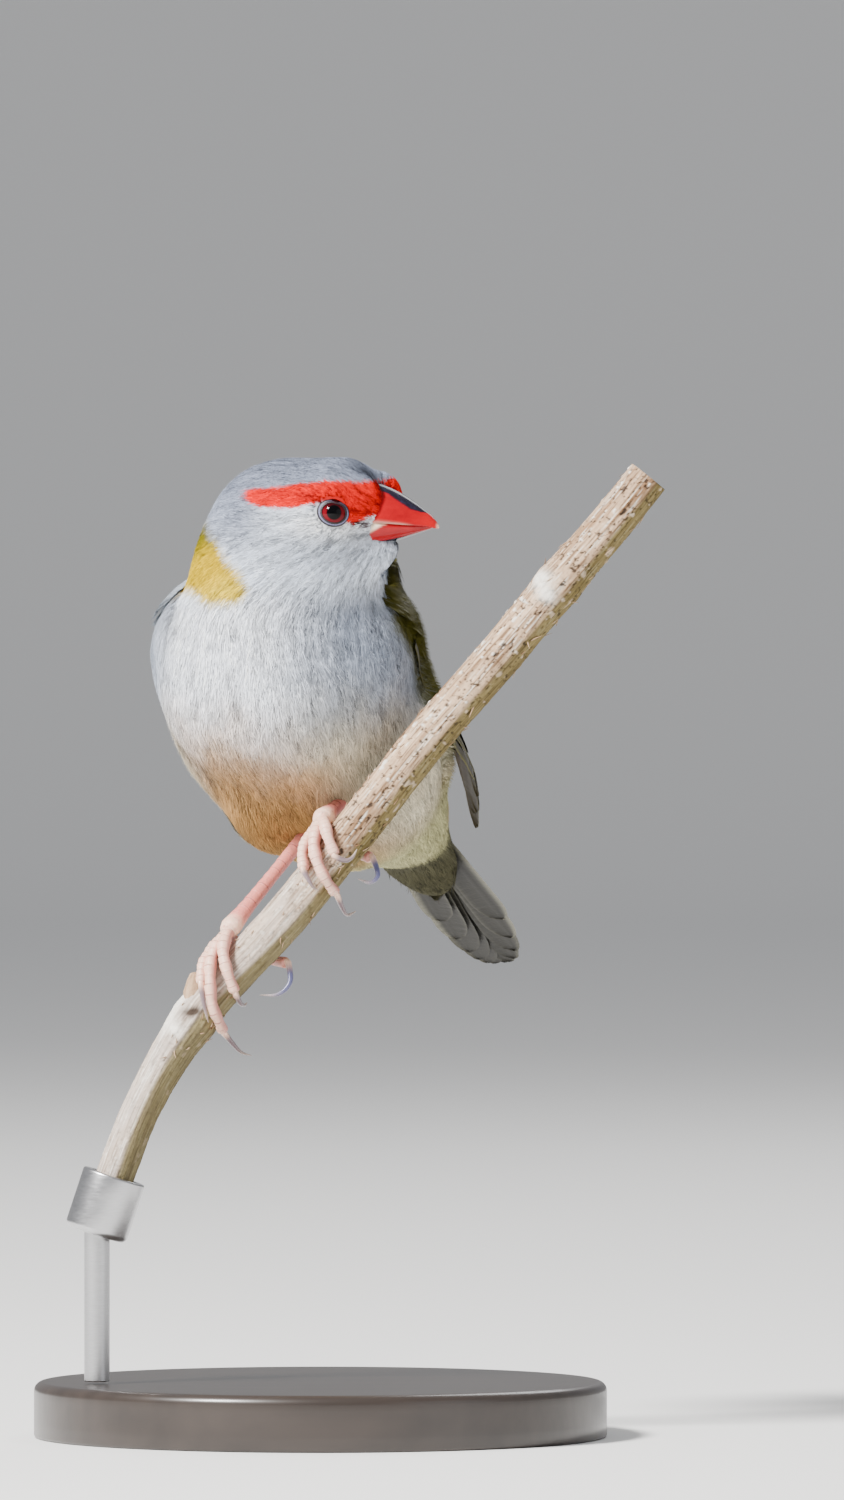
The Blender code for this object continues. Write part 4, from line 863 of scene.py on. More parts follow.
def under_leaves(roots, width_share, extra=None):
    """A thin leaf under each fan, which hides the skin between the barbs."""
    points, normals, flow, lengths, patch, depth, rise = roots
    side = np.cross(normals, flow)
    leaf = []
    tint = []
    for share, wide, tone in LEAF_ROWS:
        for place in LEAF_PLACES:
            ahead = lengths * (share + (LEAF_TIP if place == 0.0 and share == LEAF_ROWS[-1][0] else 0.0))
            aside = 0.5 * width_share * lengths * wide * place
            spot = points + ahead[:, None] * flow + aside[:, None] * side
            climb = -depth * (1.0 - share) ** 1.6 + rise * share - 0.10 - 0.06 * abs(place)
            if extra is not None:
                climb = climb + extra(spot) * share
            leaf.append(on_surface(spot, normals, climb, lengths))
            tint.append(plumage_colour(leaf[-1], normals) * tone)
    leaf_points = np.stack(leaf, axis=1)
    first = np.arange(len(points))[:, None] * 9
    faces = [first + np.array([a, a + 1, a + 4, a + 3]) for a in (0, 1, 3, 4)]
    local = [
        [PATCH_WIDTH * place, PATCH_LENGTH * (share - 0.5)]
        for share, _, _ in LEAF_ROWS
        for place in LEAF_PLACES
    ]
    patches = patch[:, None] + np.array(local)
    return leaf_points.reshape(-1, 3), faces, np.stack(tint, axis=1).reshape(-1, 3), patches.reshape(-1, 2)


def joined(parts):
    """One set of arrays from several sets of points, faces, colours and, if they have them, patches."""
    points = np.concatenate([part[0] for part in parts])
    tint = np.concatenate([part[2] for part in parts])
    patch = np.concatenate([part[3] for part in parts]) if len(parts[0]) > 3 else None
    faces = []
    start = 0
    for part in parts:
        groups = part[1] if isinstance(part[1], list) else [part[1]]
        faces += [group + start for group in groups]
        start += len(part[0])
    triangles = [group for group in faces if group.shape[1] == 3]
    squares = [group for group in faces if group.shape[1] == 4]
    merged = [np.concatenate(groups) for groups in (squares, triangles) if groups]
    return points, merged, tint, patch


# The wings lie along the sides of the body: s runs from the wrist to the wing tip, turn up from the side.

WING_START = 6.5
WRIST_BACK = -14.35
WING_LINE = (-0.87, 1.34)
WING_WAY = (-0.838, -0.546)
WING_RADIUS_AT = (0.0, 10.0, 20.0, 33.0, 40.0, 47.6, 53.2)
WING_RADII = (16.8, 17.7, 17.9, 17.1, 16.3, 14.4, 12.6)
WING_LOW_TURN = {0.0: 30.0, 8.0: 26.0, 18.0: 18.0, 28.0: 14.0, 38.0: 20.0, 46.0: 30.0, 53.2: 38.0}
WING_HIGH_TURN = {0.0: 40.0, 6.0: 62.0, 16.0: 76.0, 33.0: 78.0, 38.0: 62.0, 46.0: 52.0, 53.2: 45.0}
DROOP = {0.0: 2.0, 9.0: 5.0, 15.0: 20.0, 28.0: 36.0, 38.0: 38.0, 53.2: 28.0}
WING_ALONG = WING_WAY[0] * FORWARD + WING_WAY[1] * UP
WING_ACROSS = WING_WAY[1] * FORWARD - WING_WAY[0] * UP
WING_ORIGIN = in_torso(WING_LINE[0], 0.0, WING_LINE[1])


def drooped(s, turn, side):
    """The turn of a wing place after the right wing's droop."""
    if side < 0:
        return turn
    low = table_value(WING_LOW_TURN, s)
    high = table_value(WING_HIGH_TURN, s)
    hang = 1.0 - 0.6 * np.clip((turn - low) / (high - low), 0.0, 1.0)
    return turn - table_value(DROOP, s) * hang


def wing_points(s, turn, lift, side):
    """Points of a wing: along it, up round the body in degrees, and out from its inner face."""
    s, turn, lift = np.broadcast_arrays(*[np.asarray(value, float) for value in (s, turn, lift)])
    centre = WING_ORIGIN + (s[..., None] + WRIST_BACK) * WING_ALONG
    hung = drooped(s, turn, side)
    angle = np.radians(hung)[..., None]
    way = np.cos(angle) * (-side * LEFT) + np.sin(angle) * WING_ACROSS
    shape = s.shape
    flat_centre = centre.reshape(-1, 3)
    flat_way = way.reshape(-1, 3)
    body = surface_reach(flat_centre, flat_way, 0.0, 40.0, 24)
    inside = body_distance(flat_centre) < -0.5
    body = np.where(inside, body, 0.0).reshape(shape)
    free = np.interp(s, WING_RADIUS_AT, WING_RADII) * (1.0 - 0.05 * ((turn - 25.0) / 45.0) ** 2) - 1.5
    clear = 0.12
    inner = body + clear + np.maximum(0.0, free - body - clear) * np.clip((s - 12.0) / 22.0, 0.0, 1.0)
    return centre + way * (inner + lift)[..., None]


def over_wings(points):
    """For each wing, where points lie along it and up round it, and its two edges there."""
    rest = points - WING_ORIGIN
    s = rest @ WING_ALONG - WRIST_BACK
    across = rest @ WING_ACROSS
    for side in (1, -1):
        turn = np.degrees(np.arctan2(across, rest @ (-side * LEFT)))
        low = drooped(s, table_value(WING_LOW_TURN, s), side)
        high = drooped(s, table_value(WING_HIGH_TURN, s), side)
        yield s, turn, low, high


def under_wing(points, margin_turn, margin_s):
    """Whether each point of the body lies under a wing, this far or more inside its outline."""
    hidden = np.zeros(len(points), bool)
    for s, turn, low, high in over_wings(points):
        inside = (turn > low + margin_turn) & (turn < high - margin_turn)
        hidden |= inside & (s > WING_START + margin_s) & (s < 50.0)
    return hidden


FLIGHT_BROWN = linear(62, 56, 40)
FLIGHT_EDGE = linear(108, 102, 46)
WING_OLIVE = linear(86, 84, 28)
WING_OLIVE_LIGHT = linear(116, 112, 44)
# White of the wing lining, also used as painted edge light.
LINING_AND_EDGE_LIGHT = linear(250, 250, 246)
SHOULDER_GREY = linear(176, 184, 194)


def vane_grid(rows, columns):
    """Shares along a vane and across it, from its leading edge at -1 to its trailing edge at 1."""
    along = np.linspace(0.0, 1.0, rows) ** 0.9
    across = np.linspace(-1.0, 1.0, columns)
    return np.broadcast_arrays(along[:, None], across[None, :])


def vane_outline(along, roundness, root=0.5):
    """Relative half width of a vane from root to tip."""
    start = root + (1.0 - root) * eased(along, 0.0, 0.45)
    tip = np.sqrt(np.clip(1.0 - np.clip((along - roundness) / (1.0 - roundness), 0.0, 1.0) ** 2, 0.0, 1.0))
    return start * np.maximum(tip, 0.02)


def wing_vane(side, plan, rng):
    """One feather of a wing as points, faces, colours and a place in the unwrap."""
    (s0, turn0), (s1, turn1), width, lifts, roundness, colours, leading, detail = plan
    along, across = vane_grid(*detail)
    radius = float(np.interp(0.5 * (s0 + s1), WING_RADIUS_AT, WING_RADII))
    run = s1 - s0
    sweep = radius * math.radians(turn1 - turn0)
    length = math.hypot(run, sweep)
    half = width * vane_outline(along, roundness)
    leading_half = half * leading
    trailing_half = half * (1.0 - leading)
    offset = np.where(across < 0, across * leading_half, across * trailing_half)
    slant = 0.35 * width * np.abs(across) * (1.0 - along) * along * 1.2
    ragged = rng.normal(0.0, 0.05, along.shape) * np.abs(across) ** 4 * (width / 4.0)
    travel = np.clip(along + (slant + ragged) / length, 0.0, 1.0)
    bend = 0.6 * math.sin(math.pi * 0.8) * along * (1.0 - along)
    s = s0 + run * travel - offset * sweep / length
    turn = turn0 + (turn1 - turn0) * travel + np.degrees((offset * run / length + bend) / radius)
    lift = lifts[0] + (lifts[1] - lifts[0]) * along
    lift = lift + 0.12 * (1.0 - across ** 2) - 0.16 * across
    shaft = np.exp(-(offset / 0.16) ** 2) * (1.0 - 0.7 * along)
    lift = lift + 0.10 * shaft
    barb = rng.normal(0.0, 1.0, (along.shape[0], 1)) * np.ones_like(across)
    lift = lift + 0.012 * barb * np.abs(across)
    points = wing_points(s, turn, np.maximum(lift, 0.02), side)
    edge = eased(-across, 0.45, 0.95) + 0.35 * eased(across, 0.8, 1.0)
    tint = mixed(colours[0], colours[1], np.clip(edge, 0.0, 1.0))
    tint = tint * (1.0 + 0.06 * barb[..., None]) * (1.0 - 0.45 * shaft[..., None])
    tint = tint * (0.82 + 0.18 * along[..., None]) * rng.uniform(0.94, 1.05)
    return points.reshape(-1, 3), grid_faces(*detail), tint.reshape(-1, 3)


def wing_plans(side):
    """Every long vane of one wing from the wing tip forward and up, in tiers."""
    plans = []
    flight = (FLIGHT_BROWN, FLIGHT_EDGE)
    olive = (WING_OLIVE, WING_OLIVE_LIGHT)
    for step in range(8):
        share = step / 7
        tip = (53.2 - 13.5 * share ** 0.9, 40.5 + 7.5 * share)
        root = (20.0, 24.0 + 14.0 * share)
        lifts = (0.1 + 0.3 * share, 0.15 + 0.4 * share)
        plans.append((root, tip, 4.4, lifts, 0.74, flight, 0.28, (110, 13)))
    for step in range(6):
        share = step / 5
        tip = (40.2 - 2.4 * share, 43.0 + 14.5 * share)
        root = (18.0, 35.0 + 17.0 * share)
        lifts = (0.5, 0.6 + 0.35 * share)
        plans.append((root, tip, 4.8, lifts, 0.8, flight, 0.36, (84, 13)))
    for step in range(3):
        tip = (38.4 - 4.2 * step, 62.0 + 5.5 * step)
        root = (12.0, 55.0 + 6.5 * step)
        plans.append((root, tip, 6.0, (0.6 + 0.1 * step, 1.05 + 0.2 * step), 0.76, olive, 0.44, (90, 15)))
    # On the right wing two low vanes take a white edge, partly their own pale edge and partly painted edge
    # light.
    pale_and_lit_edge = (FLIGHT_BROWN, LINING_AND_EDGE_LIGHT) if side > 0 else flight
    plans.append(((9.0, 20.5), (38.5, 20.5), 4.2, (0.22, 0.22), 0.8, pale_and_lit_edge, 0.34, (90, 13)))
    plans.append(((13.0, 22.0), (45.5, 31.5), 4.0, (0.26, 0.26), 0.8, pale_and_lit_edge, 0.30, (90, 13)))
    plans.append(((15.0, 23.0), (50.0, 38.0), 4.0, (0.28, 0.28), 0.8, flight, 0.28, (90, 13)))
    return plans


def edge_lit_underwing_plans():
    """White vanes against the inner side of the right wing's lower edge, partly the pale lining and partly
    painted edge light.
    """
    pale = (LINING_AND_EDGE_LIGHT, LINING_AND_EDGE_LIGHT)
    return [
        ((11.0, 21.5), (38.0, 21.3), 3.9, (0.05, 0.05), 0.8, pale, 0.27, (70, 9)),
        ((14.0, 23.0), (45.2, 32.2), 3.8, (0.05, 0.05), 0.8, pale, 0.27, (70, 9)),
    ]


# Rows of coverts: place along the wing, first and last share up it, count, length, width and lift.
COVERT_ROWS = (
    (15.0, 0.10, 0.90, 16, 10.5, 3.6, 0.95), (11.4, 0.04, 0.92, 17, 8.0, 3.3, 1.20),
    (8.2, 0.02, 0.94, 17, 6.6, 3.0, 1.35), (5.6, 0.00, 0.96, 16, 5.2, 2.7, 1.40),
    (3.2, 0.00, 0.98, 14, 4.6, 2.5, 1.35), (1.2, 0.00, 1.0, 11, 4.2, 2.4, 1.20),
)


COVERT_BARBS = 30


def breast_side(s, turn, side):
    """How much of the right wing's bend wears the grey of the breast beside it, from 0 to 1."""
    over_low = turn - table_value(WING_LOW_TURN, s)
    return (side > 0) * (1.0 - eased(over_low, 18.0, 32.0)) * (1.0 - eased(s, 5.0, 10.0))


def wing_coverts(side, rng):
    """The soft coverts and shoulder feathers of one wing, as fans of barbs that follow its surface."""
    plans = []
    for start, low_share, high_share, count, length, width, lift in COVERT_ROWS:
        for share in np.linspace(low_share, high_share, count):
            place = start + rng.uniform(-0.4, 0.4) - 1.2 * share
            low = table_value(WING_LOW_TURN, place)
            high = table_value(WING_HIGH_TURN, place)
            turn = low + (high - low) * share + rng.uniform(-1.0, 1.0)
            plans.append((place, turn, length * rng.uniform(0.92, 1.06), width, lift, -0.10 + 0.30 * share))
    for place in np.arange(1.0, 27.0, 1.25):
        for row in range(3):
            turn = table_value(WING_HIGH_TURN, place) + 5.0 - 4.5 * row + rng.uniform(-1.0, 1.0)
            size = 5.5 + 0.16 * place
            plans.append((place + 0.5 * row, turn, size, 3.8, 1.25 + 0.18 * (2 - row), -0.42 + 0.10 * row))
    place, turn, length, width, lift, lean = [np.array(values)[:, None] for values in zip(*plans)]
    shape = (len(plans), COVERT_BARBS)
    spread = np.linspace(-1.0, 1.0, COVERT_BARBS)[None, :] + rng.uniform(-0.6, 0.6, shape) / COVERT_BARBS
    finish = 1.0 - 0.30 * spread ** 2 + rng.uniform(-0.10, 0.03, shape)
    radius = np.interp(place, WING_RADIUS_AT, WING_RADII)
    lines = []
    for share in BARB_STATIONS:
        ahead = length * (0.04 + 0.3 * np.abs(spread) + (finish - 0.04 - 0.3 * np.abs(spread)) * share)
        aside = 0.5 * width * spread * (0.35 + 0.65 * share ** 0.7)
        s = place + ahead * np.cos(lean) - aside * np.sin(lean)
        turned_by = np.degrees((ahead * np.sin(lean) + aside * np.cos(lean)) / radius)
        height = 0.1 + (lift - 0.1) * share ** 0.6 - 0.10 * spread ** 2 + rng.uniform(-0.02, 0.03, shape)
        lines.append(wing_points(s, turn + turned_by, height, side))
    lines = np.stack(lines, axis=2)
    outward = unit(wing_points(s, turn + turned_by, height + 1.0, side) - lines[:, :, 2])
    centre_line = np.exp(-(spread / 0.16) ** 2)
    rim = eased(np.abs(spread), 0.55, 1.0)
    tone = mixed(WING_OLIVE, WING_OLIVE_LIGHT, rim) * (1.0 - 0.25 * centre_line)[..., None]
    shade = rng.uniform(0.88, 1.08, shape) * rng.uniform(0.93, 1.06, (len(plans), 1))
    tone = mixed(tone, SHOULDER_GREY, breast_side(place, turn, side))
    tone = tone * np.where(rng.random(shape) < 0.15, 0.75 * shade, shade)[..., None]
    return ribbons(lines, outward, np.full(shape, 0.085), tone)


def wing_core(side):
    """The thin body of a wing under its feathers; its inner face is the olive darkened as painted shade,
    and on the right wing it is white near the lower edge, partly the pale lining and partly painted edge
    light.
    """
    stations = np.linspace(WING_START, 27.0, 34)
    shares = np.linspace(0.0, 1.0, 20)
    low = table_value(WING_LOW_TURN, stations)[:, None] + 1.5 + 5.0 * eased(stations, 18.0, 27.0)[:, None]
    high = table_value(WING_HIGH_TURN, stations)[:, None] - 4.0
    turns = low + (high - low) * shares
    # Painted shade and light on the inner face: dark olive, and white near the right wing's lower edge.
    pale = (1.0 - eased(shares, 0.2, 0.35)) * eased(stations, 12.0, 16.0)[:, None] * (side > 0)
    underside_shade_and_light = mixed(WING_OLIVE * 0.6, LINING_AND_EDGE_LIGHT, pale)
    spread = np.broadcast_to(stations[:, None], turns.shape)
    outer = wing_points(spread, turns, 0.42, side)
    inner = wing_points(spread, turns, 0.0, side)
    points = np.concatenate([outer, inner[:, ::-1]], axis=1)
    colours = np.concatenate([
        mixed(WING_OLIVE, SHOULDER_GREY, breast_side(spread, turns, side)), underside_shade_and_light[:, ::-1],
    ], axis=1)
    columns = points.shape[1]
    faces = [grid_faces(len(stations), columns, wrap=True)]
    half = columns // 2
    caps = []
    for start in (0, (len(stations) - 1) * columns):
        for step in range(half - 1):
            outside = start + step
            inside = start + columns - 1 - step
            caps.append((outside, outside + 1, inside - 1, inside))
    faces.append(np.array(caps))
    return points.reshape(-1, 3), np.concatenate(faces), colours.reshape(-1, 3)


# The tail

TAIL_LENGTH = 44.5
TAIL_STEPS = (0.0, 0.8, 2.2, 4.6, 8.2, 13.0)
TAIL_BROWN = linear(32, 30, 24)
TAIL_EDGE = linear(72, 70, 58)
TAIL_PALE = linear(118, 116, 102)


def tail_points(back, left, lift):
    """Points of the tail: distance behind its root, to the bird's left and up from its plane."""
    back, left, lift = alike(back, left, lift)
    origin = in_torso(TAIL_ROOT[0], 0.4, TAIL_ROOT[1])
    return origin - back * TAIL_AHEAD + left * TAIL_SIDE + lift * TAIL_OVER


def tail_vane(root, tip, width, lifts, roundness, colours, outer_share, outer, rng, detail=(130, 15)):
    """One long feather of the tail; outer is the side, 1 or -1, that its narrow vane faces."""
    along, across = vane_grid(*detail)
    way = np.array(tip) - np.array(root)
    length = float(np.hypot(*way))
    normal = np.array([-way[1], way[0]]) / length
    half = width * vane_outline(along, roundness, 0.6)
    share = np.where(across * outer > 0, outer_share, 1.0 - outer_share)
    offset = across * half * share
    slant = 0.5 * width * np.abs(across) * along * (1.0 - along)
    ragged = rng.normal(0.0, 0.07, along.shape) * np.abs(across) ** 4
    travel = np.clip(along + (slant + ragged) / length, 0.0, 1.0)
    back = root[0] + way[0] * travel + normal[0] * offset
    left = root[1] + way[1] * travel + normal[1] * offset
    lift = lifts[0] + (lifts[1] - lifts[0]) * along + 0.18 * (1.0 - across ** 2)
    shaft = np.exp(-(offset / 0.2) ** 2) * (1.0 - 0.6 * along)
    barb = rng.normal(0.0, 1.0, (along.shape[0], 1)) * np.ones_like(across)
    lift = lift - 0.10 * shaft + 0.014 * barb * np.abs(across)
    points = tail_points(back, left, lift)
    edge = eased(across * outer, 0.35, 0.98) + 0.25 * eased(-across * outer, 0.8, 1.0)
    tint = mixed(colours[0], colours[1], np.clip(edge, 0.0, 1.0))
    tint = tint * (1.0 + 0.05 * barb[..., None]) * (1.0 - 0.25 * shaft[..., None])
    tint = tint * rng.uniform(0.93, 1.06)
    return points.reshape(-1, 3), grid_faces(*detail), tint.reshape(-1, 3)


def tail_feathers(rng):
    """The twelve long feathers, the middle pair on top."""
    parts = []
    for pair, short in enumerate(TAIL_STEPS):
        for side in (1, -1):
            splay = math.radians(0.4 + ((1.1 + 0.07 * pair) if side > 0 else 0.35) * pair)
            root = (1.0, side * (0.5 + 0.28 * pair))
            length = TAIL_LENGTH - short - 1.0
            tip = (1.0 + length * math.cos(splay), root[1] + side * length * math.sin(splay))
            lift = 1.25 - 0.44 * pair + (0.2 if side > 0 else 0.0)
            pale = TAIL_PALE if pair > 3 else TAIL_EDGE
            parts.append(tail_vane(root, tip, 4.7, (lift, lift), 0.86, (TAIL_BROWN, pale), 0.4, side, rng))
    return parts


# The bill

BILL_BASE = 6.0
BILL_TIP = 14.6
CULMEN_HEIGHT = 4.45
GONYS_DEPTH = -3.6
GAPE_HEIGHT = -0.35
TIP_HEIGHT = -0.1
BILL_HALF_WIDTH = 3.55
BILL_RED = linear(164, 0, 16)
BILL_DEEP = linear(118, 0, 10)
BILL_BLACK = linear(26, 22, 34)
BILL_SLATE = linear(50, 46, 74)
BILL_ORANGE = linear(190, 6, 16)
BILL_CREAM_AND_HIGHLIGHT = linear(240, 218, 192)
CULMEN_WEDGE = {0.0: 0.50, 0.22: 0.60, 0.48: 0.80, 0.61: 0.86, 0.74: 0.70, 0.80: 0.40, 0.84: -0.3}


def bill_outline(share):
    """Heights of culmen, mouth line and gonys and the half width, from base (0) to tip (1)."""
    taper = 1.0 - share
    full = 1.0 - np.clip(share, 0.0, 1.0) ** 1.45
    mouth = GAPE_HEIGHT + (TIP_HEIGHT - 0.25 - GAPE_HEIGHT) * share
    culmen = TIP_HEIGHT + 0.1 + (CULMEN_HEIGHT - TIP_HEIGHT - 0.1) * full
    gonys = mouth - 0.3 + (GONYS_DEPTH - GAPE_HEIGHT + 0.3) * (0.8 * taper + 0.2 * full)
    half_width = 0.32 + (BILL_HALF_WIDTH - 0.32) * (0.55 * taper + 0.45 * full)
    return culmen, mouth, gonys, half_width


def bill_half(upper):
    """Points, faces and colours of one half of the bill, from inside the face to its rounded tip."""
    rows, columns = 90, 57
    share = np.linspace(-0.22, 1.0, rows)[:, None]
    turn = np.linspace(0.0, math.pi, columns)[None, :]
    share, turn = np.broadcast_arrays(share, turn)
    inside = np.clip(share, 0.0, 1.0)
    culmen, mouth, gonys, half_width = bill_outline(inside)
    end = np.sqrt(np.clip(1.0 - np.clip((share - 0.93) / 0.07, 0.0, 1.0) ** 2, 0.0, 1.0))
    rise = np.sin(turn) ** (0.9 if upper else 0.62)
    lip = 0.16 * np.clip(np.abs(np.cos(turn)) * 8.0 - 7.0, 0.0, 1.0)
    if upper:
        base = mouth - 0.02 - 0.05 * inside
        top = base + (culmen - base) * end
        side = half_width * np.cos(turn) * end
        height = base + (top - base) * rise - lip
    else:
        base = mouth - 0.16
        low = base + (gonys - base) * end
        side = half_width * 0.97 * np.cos(turn) * end
        height = base - (base - low) * rise
        side = side * (1.0 - 0.05 * np.exp(-((rise - 0.05) / 0.05) ** 2))
    tip = BILL_TIP if upper else BILL_TIP - 0.6
    ahead = BILL_BASE + (tip - BILL_BASE) * share
    if upper:
        height = height - 0.22 * eased(share, 0.85, 1.0) * end
    points = HEAD + ahead[..., None] * BILL_WAY + side[..., None] * HEAD_SIDE + height[..., None] * HEAD_UP
    grain = rough_noise(np.stack([ahead * 0.5, side * 2.0, height * 2.0], axis=-1), 5, 3)
    tint = mixed(BILL_RED, BILL_DEEP, 0.35 + 0.35 * grain)
    middle = np.abs(turn - math.pi / 2)
    if upper:
        wedge = table_value(CULMEN_WEDGE, inside) + 0.05 * grain
        black = 1.0 - eased(middle - wedge, -0.04, 0.04)
        sheen = rough_noise(np.stack([ahead * 1.2, side * 6.0, height * 3.0], axis=-1), 9, 2)
        bright = 0.55 * eased(share, 0.55, 1.0) + 0.35 * (1.0 - eased(share, 0.1, 0.35))
        tint = mixed(tint, BILL_ORANGE, bright)
        tint = mixed(tint, mixed(BILL_BLACK, BILL_SLATE, 0.5 * eased(sheen, 0.0, 0.7)), black)
        # Painted highlight: a pale line along the lower edge of the upper mandible's base half.
        cream_and_highlight = 0.35 * (1.0 - eased(rise, 0.03, 0.09)) * (1.0 - eased(share, 0.5, 0.7))
        tint = mixed(tint, BILL_CREAM_AND_HIGHLIGHT, cream_and_highlight)
    else:
        wedge = 0.50 * (1.0 - inside) + 0.22
        tint = mixed(tint, BILL_BLACK, 1.0 - eased(middle - wedge, -0.08, 0.10))
        depth = (mouth - height - 0.16) / 1.9
        cream_and_highlight = 1.0 - eased(share / 0.33 + depth, 0.75, 1.05)
        tint = mixed(tint, BILL_CREAM_AND_HIGHLIGHT, 0.95 * cream_and_highlight * eased(share, -0.2, 0.0))
    tint = mixed(tint, BILL_CREAM_AND_HIGHLIGHT, 0.75 * eased(share, 0.95, 1.0))
    return with_ends(points), capped(rows, columns), with_ends(tint)


# The eyes

EYE_RADIUS = 1.9
EYE_AHEAD = 2.9
EYE_UP = 0.4
EYE_RISE = 0.75
CORNEA_RISE = 0.10
EYE_TILT = math.radians(14.0)
EYE_OPENING = (1.48, 1.24)
EYE_RIM = (2.02, 1.70)
IRIS_RED = linear(102, 8, 20)
IRIS_DARK = linear(78, 16, 24)
PUPIL = linear(3, 3, 4)
LID_PALE = linear(126, 126, 164)
LID_DARK = linear(26, 20, 24)


def eye_place(side):
    """Centre of an eyeball and the way it looks, on the bird's right (1) or left (-1)."""
    start = in_head(EYE_AHEAD, 0.0, EYE_UP)
    way = side * HEAD_SIDE
    reach = surface_reach(start[None], way[None], 0.0)[0]
    on_skin = start + reach * way
    outward = body_normals(on_skin[None], 0.4)[0]
    return on_skin + outward * (EYE_RISE - EYE_RADIUS), outward


EYES = {side: eye_place(side) for side in (1, -1)}


def axes_around(way):
    """Three axes of which the last is the given way."""
    first = unit(np.cross(UP, way))
    return first, np.cross(way, first), way


def eyeball(side):
    """An eyeball with a raised cornea, its iris and pupil coloured by the angle from its middle, and a
    painted lid shadow over the top of the iris.
    """
    centre, outward = EYES[side]
    first, second, way = axes_around(outward)
    rows, columns = 90, 72
    tilt = np.linspace(0.0, math.pi, rows)[1:-1][:, None]
    turn = np.linspace(0.0, 2 * math.pi, columns, endpoint=False)[None, :]
    tilt, turn = np.broadcast_arrays(tilt, turn)
    radius = EYE_RADIUS + CORNEA_RISE * np.exp(-(tilt / 0.55) ** 2)
    way_out = (
        np.sin(tilt)[..., None] * (np.cos(turn)[..., None] * first + np.sin(turn)[..., None] * second)
        + np.cos(tilt)[..., None] * way
    )
    points = centre + radius[..., None] * way_out
    reach = np.degrees(tilt)
    rays = smooth_noise(np.stack([np.cos(turn) * 9.0, np.sin(turn) * 9.0, reach / 22.0], axis=-1), 31)
    tint = mixed(PUPIL, IRIS_RED, eased(reach, 26.0, 31.0))
    tint = mixed(tint, IRIS_DARK, 0.6 * eased(rays, 0.0, 0.9) * eased(reach, 26.0, 30.0))
    # Painted shadow: the top of the iris darkens towards the pupil's colour, as if shaded by the upper lid.
    above = eased(points @ UP - centre @ UP, 0.25, 1.1)
    tint = mixed(tint, PUPIL, 0.8 * above * eased(reach, 24.5, 28.0))
    tint = mixed(tint, PUPIL, 0.9 * eased(reach, 44.0, 50.0))
    flat = with_ends(points, centre + way * (EYE_RADIUS + CORNEA_RISE), centre - way * EYE_RADIUS)
    return flat, capped(rows - 2, columns), with_ends(tint, PUPIL, PUPIL)


def eye_ellipse(side, rest):
    """Distances from the middle of an eye along the slant of its lids and across it."""
    first, second, _ = axes_around(EYES[side][1])
    ahead = rest @ first * side
    up = rest @ second
    along = ahead * math.cos(EYE_TILT) - up * math.sin(EYE_TILT)
    return along, ahead * math.sin(EYE_TILT) + up * math.cos(EYE_TILT)


def eyelid(side):
    """The bare lids round one eye: a dark inner edge, a pale beaded band and a dark outer edge."""
    centre, outward = EYES[side]
    first, second, way = axes_around(outward)
    rows = 160
    turn = np.linspace(0.0, 2 * math.pi, rows, endpoint=False)[:, None]
    share = np.array([-0.05, 0.0, 0.06, 0.14, 0.26, 0.4, 0.55, 0.7, 0.84, 1.0, 1.1])[None, :]
    turn, share = np.broadcast_arrays(turn, share)
    beads = np.abs(np.sin(turn * 17.0))
    along = np.cos(turn) * (EYE_OPENING[0] + (EYE_RIM[0] - EYE_OPENING[0]) * share)
    up = np.sin(turn) * (EYE_OPENING[1] + (EYE_RIM[1] - EYE_OPENING[1]) * share)
    up = up * (1.0 - 0.10 * np.clip(np.sin(turn), 0.0, 1.0) * np.cos(2.0 * turn) ** 2)
    ahead = along * math.cos(EYE_TILT) + up * math.sin(EYE_TILT)
    across = -along * math.sin(EYE_TILT) + up * math.cos(EYE_TILT)
    reach = np.hypot(ahead, across)
    ball = np.sqrt(np.maximum((EYE_RADIUS + 0.03) ** 2 - reach ** 2, 0.0))
    inner = np.where(reach < EYE_RADIUS, ball, 0.0)
    spot = centre + (side * ahead)[..., None] * first + across[..., None] * second
    skin = body_distance((spot + way * (EYE_RADIUS - EYE_RISE)).reshape(-1, 3)).reshape(share.shape)
    outer = EYE_RADIUS - EYE_RISE - skin
    height = inner * (1.0 - eased(share, 0.05, 0.9)) + outer * eased(share, 0.05, 0.9)
    height = height + 0.17 * np.sin(math.pi * np.clip(share, 0.0, 1.0)) ** 0.7 * (0.85 + 0.15 * beads)
    height = height - 0.30 * (share < 0.0) - 0.30 * (share > 1.0)
    points = spot + way * height[..., None]
    band = eased(share, 0.42, 0.54) * (1.0 - eased(share, 0.64, 0.80))
    pale = mixed(LID_PALE * 0.55, LID_PALE, 0.3 + 0.7 * beads)
    upper = eased(np.sin(turn), 0.0, 0.8)
    tint = mixed(LID_DARK, pale, band * (1.0 - 0.75 * upper))
    faces = grid_faces(rows + 1, share.shape[1]) % (rows * share.shape[1])
    return points.reshape(-1, 3), faces, tint.reshape(-1, 3)


# The perch: a bent dry stem whose middle line lies in one upright plane in front of the bird's middle.

PERCH_PLANE = -7.75
PERCH_LINE = (
    (-28.5, 24.5), (-26.1, 31.6), (-22.6, 40.75), (-19.1, 47.5), (-16.25, 51.75), (-13.1, 55.9),
    (-7.25, 62.1), (-2.5, 67.5), (6.4, 78.75), (13.6, 87.9), (22.9, 98.6), (30.0, 107.1),
    (36.5, 114.75), (42.5, 122.25),
)
PERCH_START = 3.0
PERCH_END = 119.5
PERCH_RADII = {
    0.0: 2.5, 12.0: 2.45, 22.0: 2.5, 28.0: 2.75, 31.0: 3.05, 34.0: 2.75, 40.0: 2.75, 60.0: 2.85,
    90.0: 2.85, 99.0: 2.9, 102.0: 3.1, 105.0: 2.85, 122.0: 2.65,
}


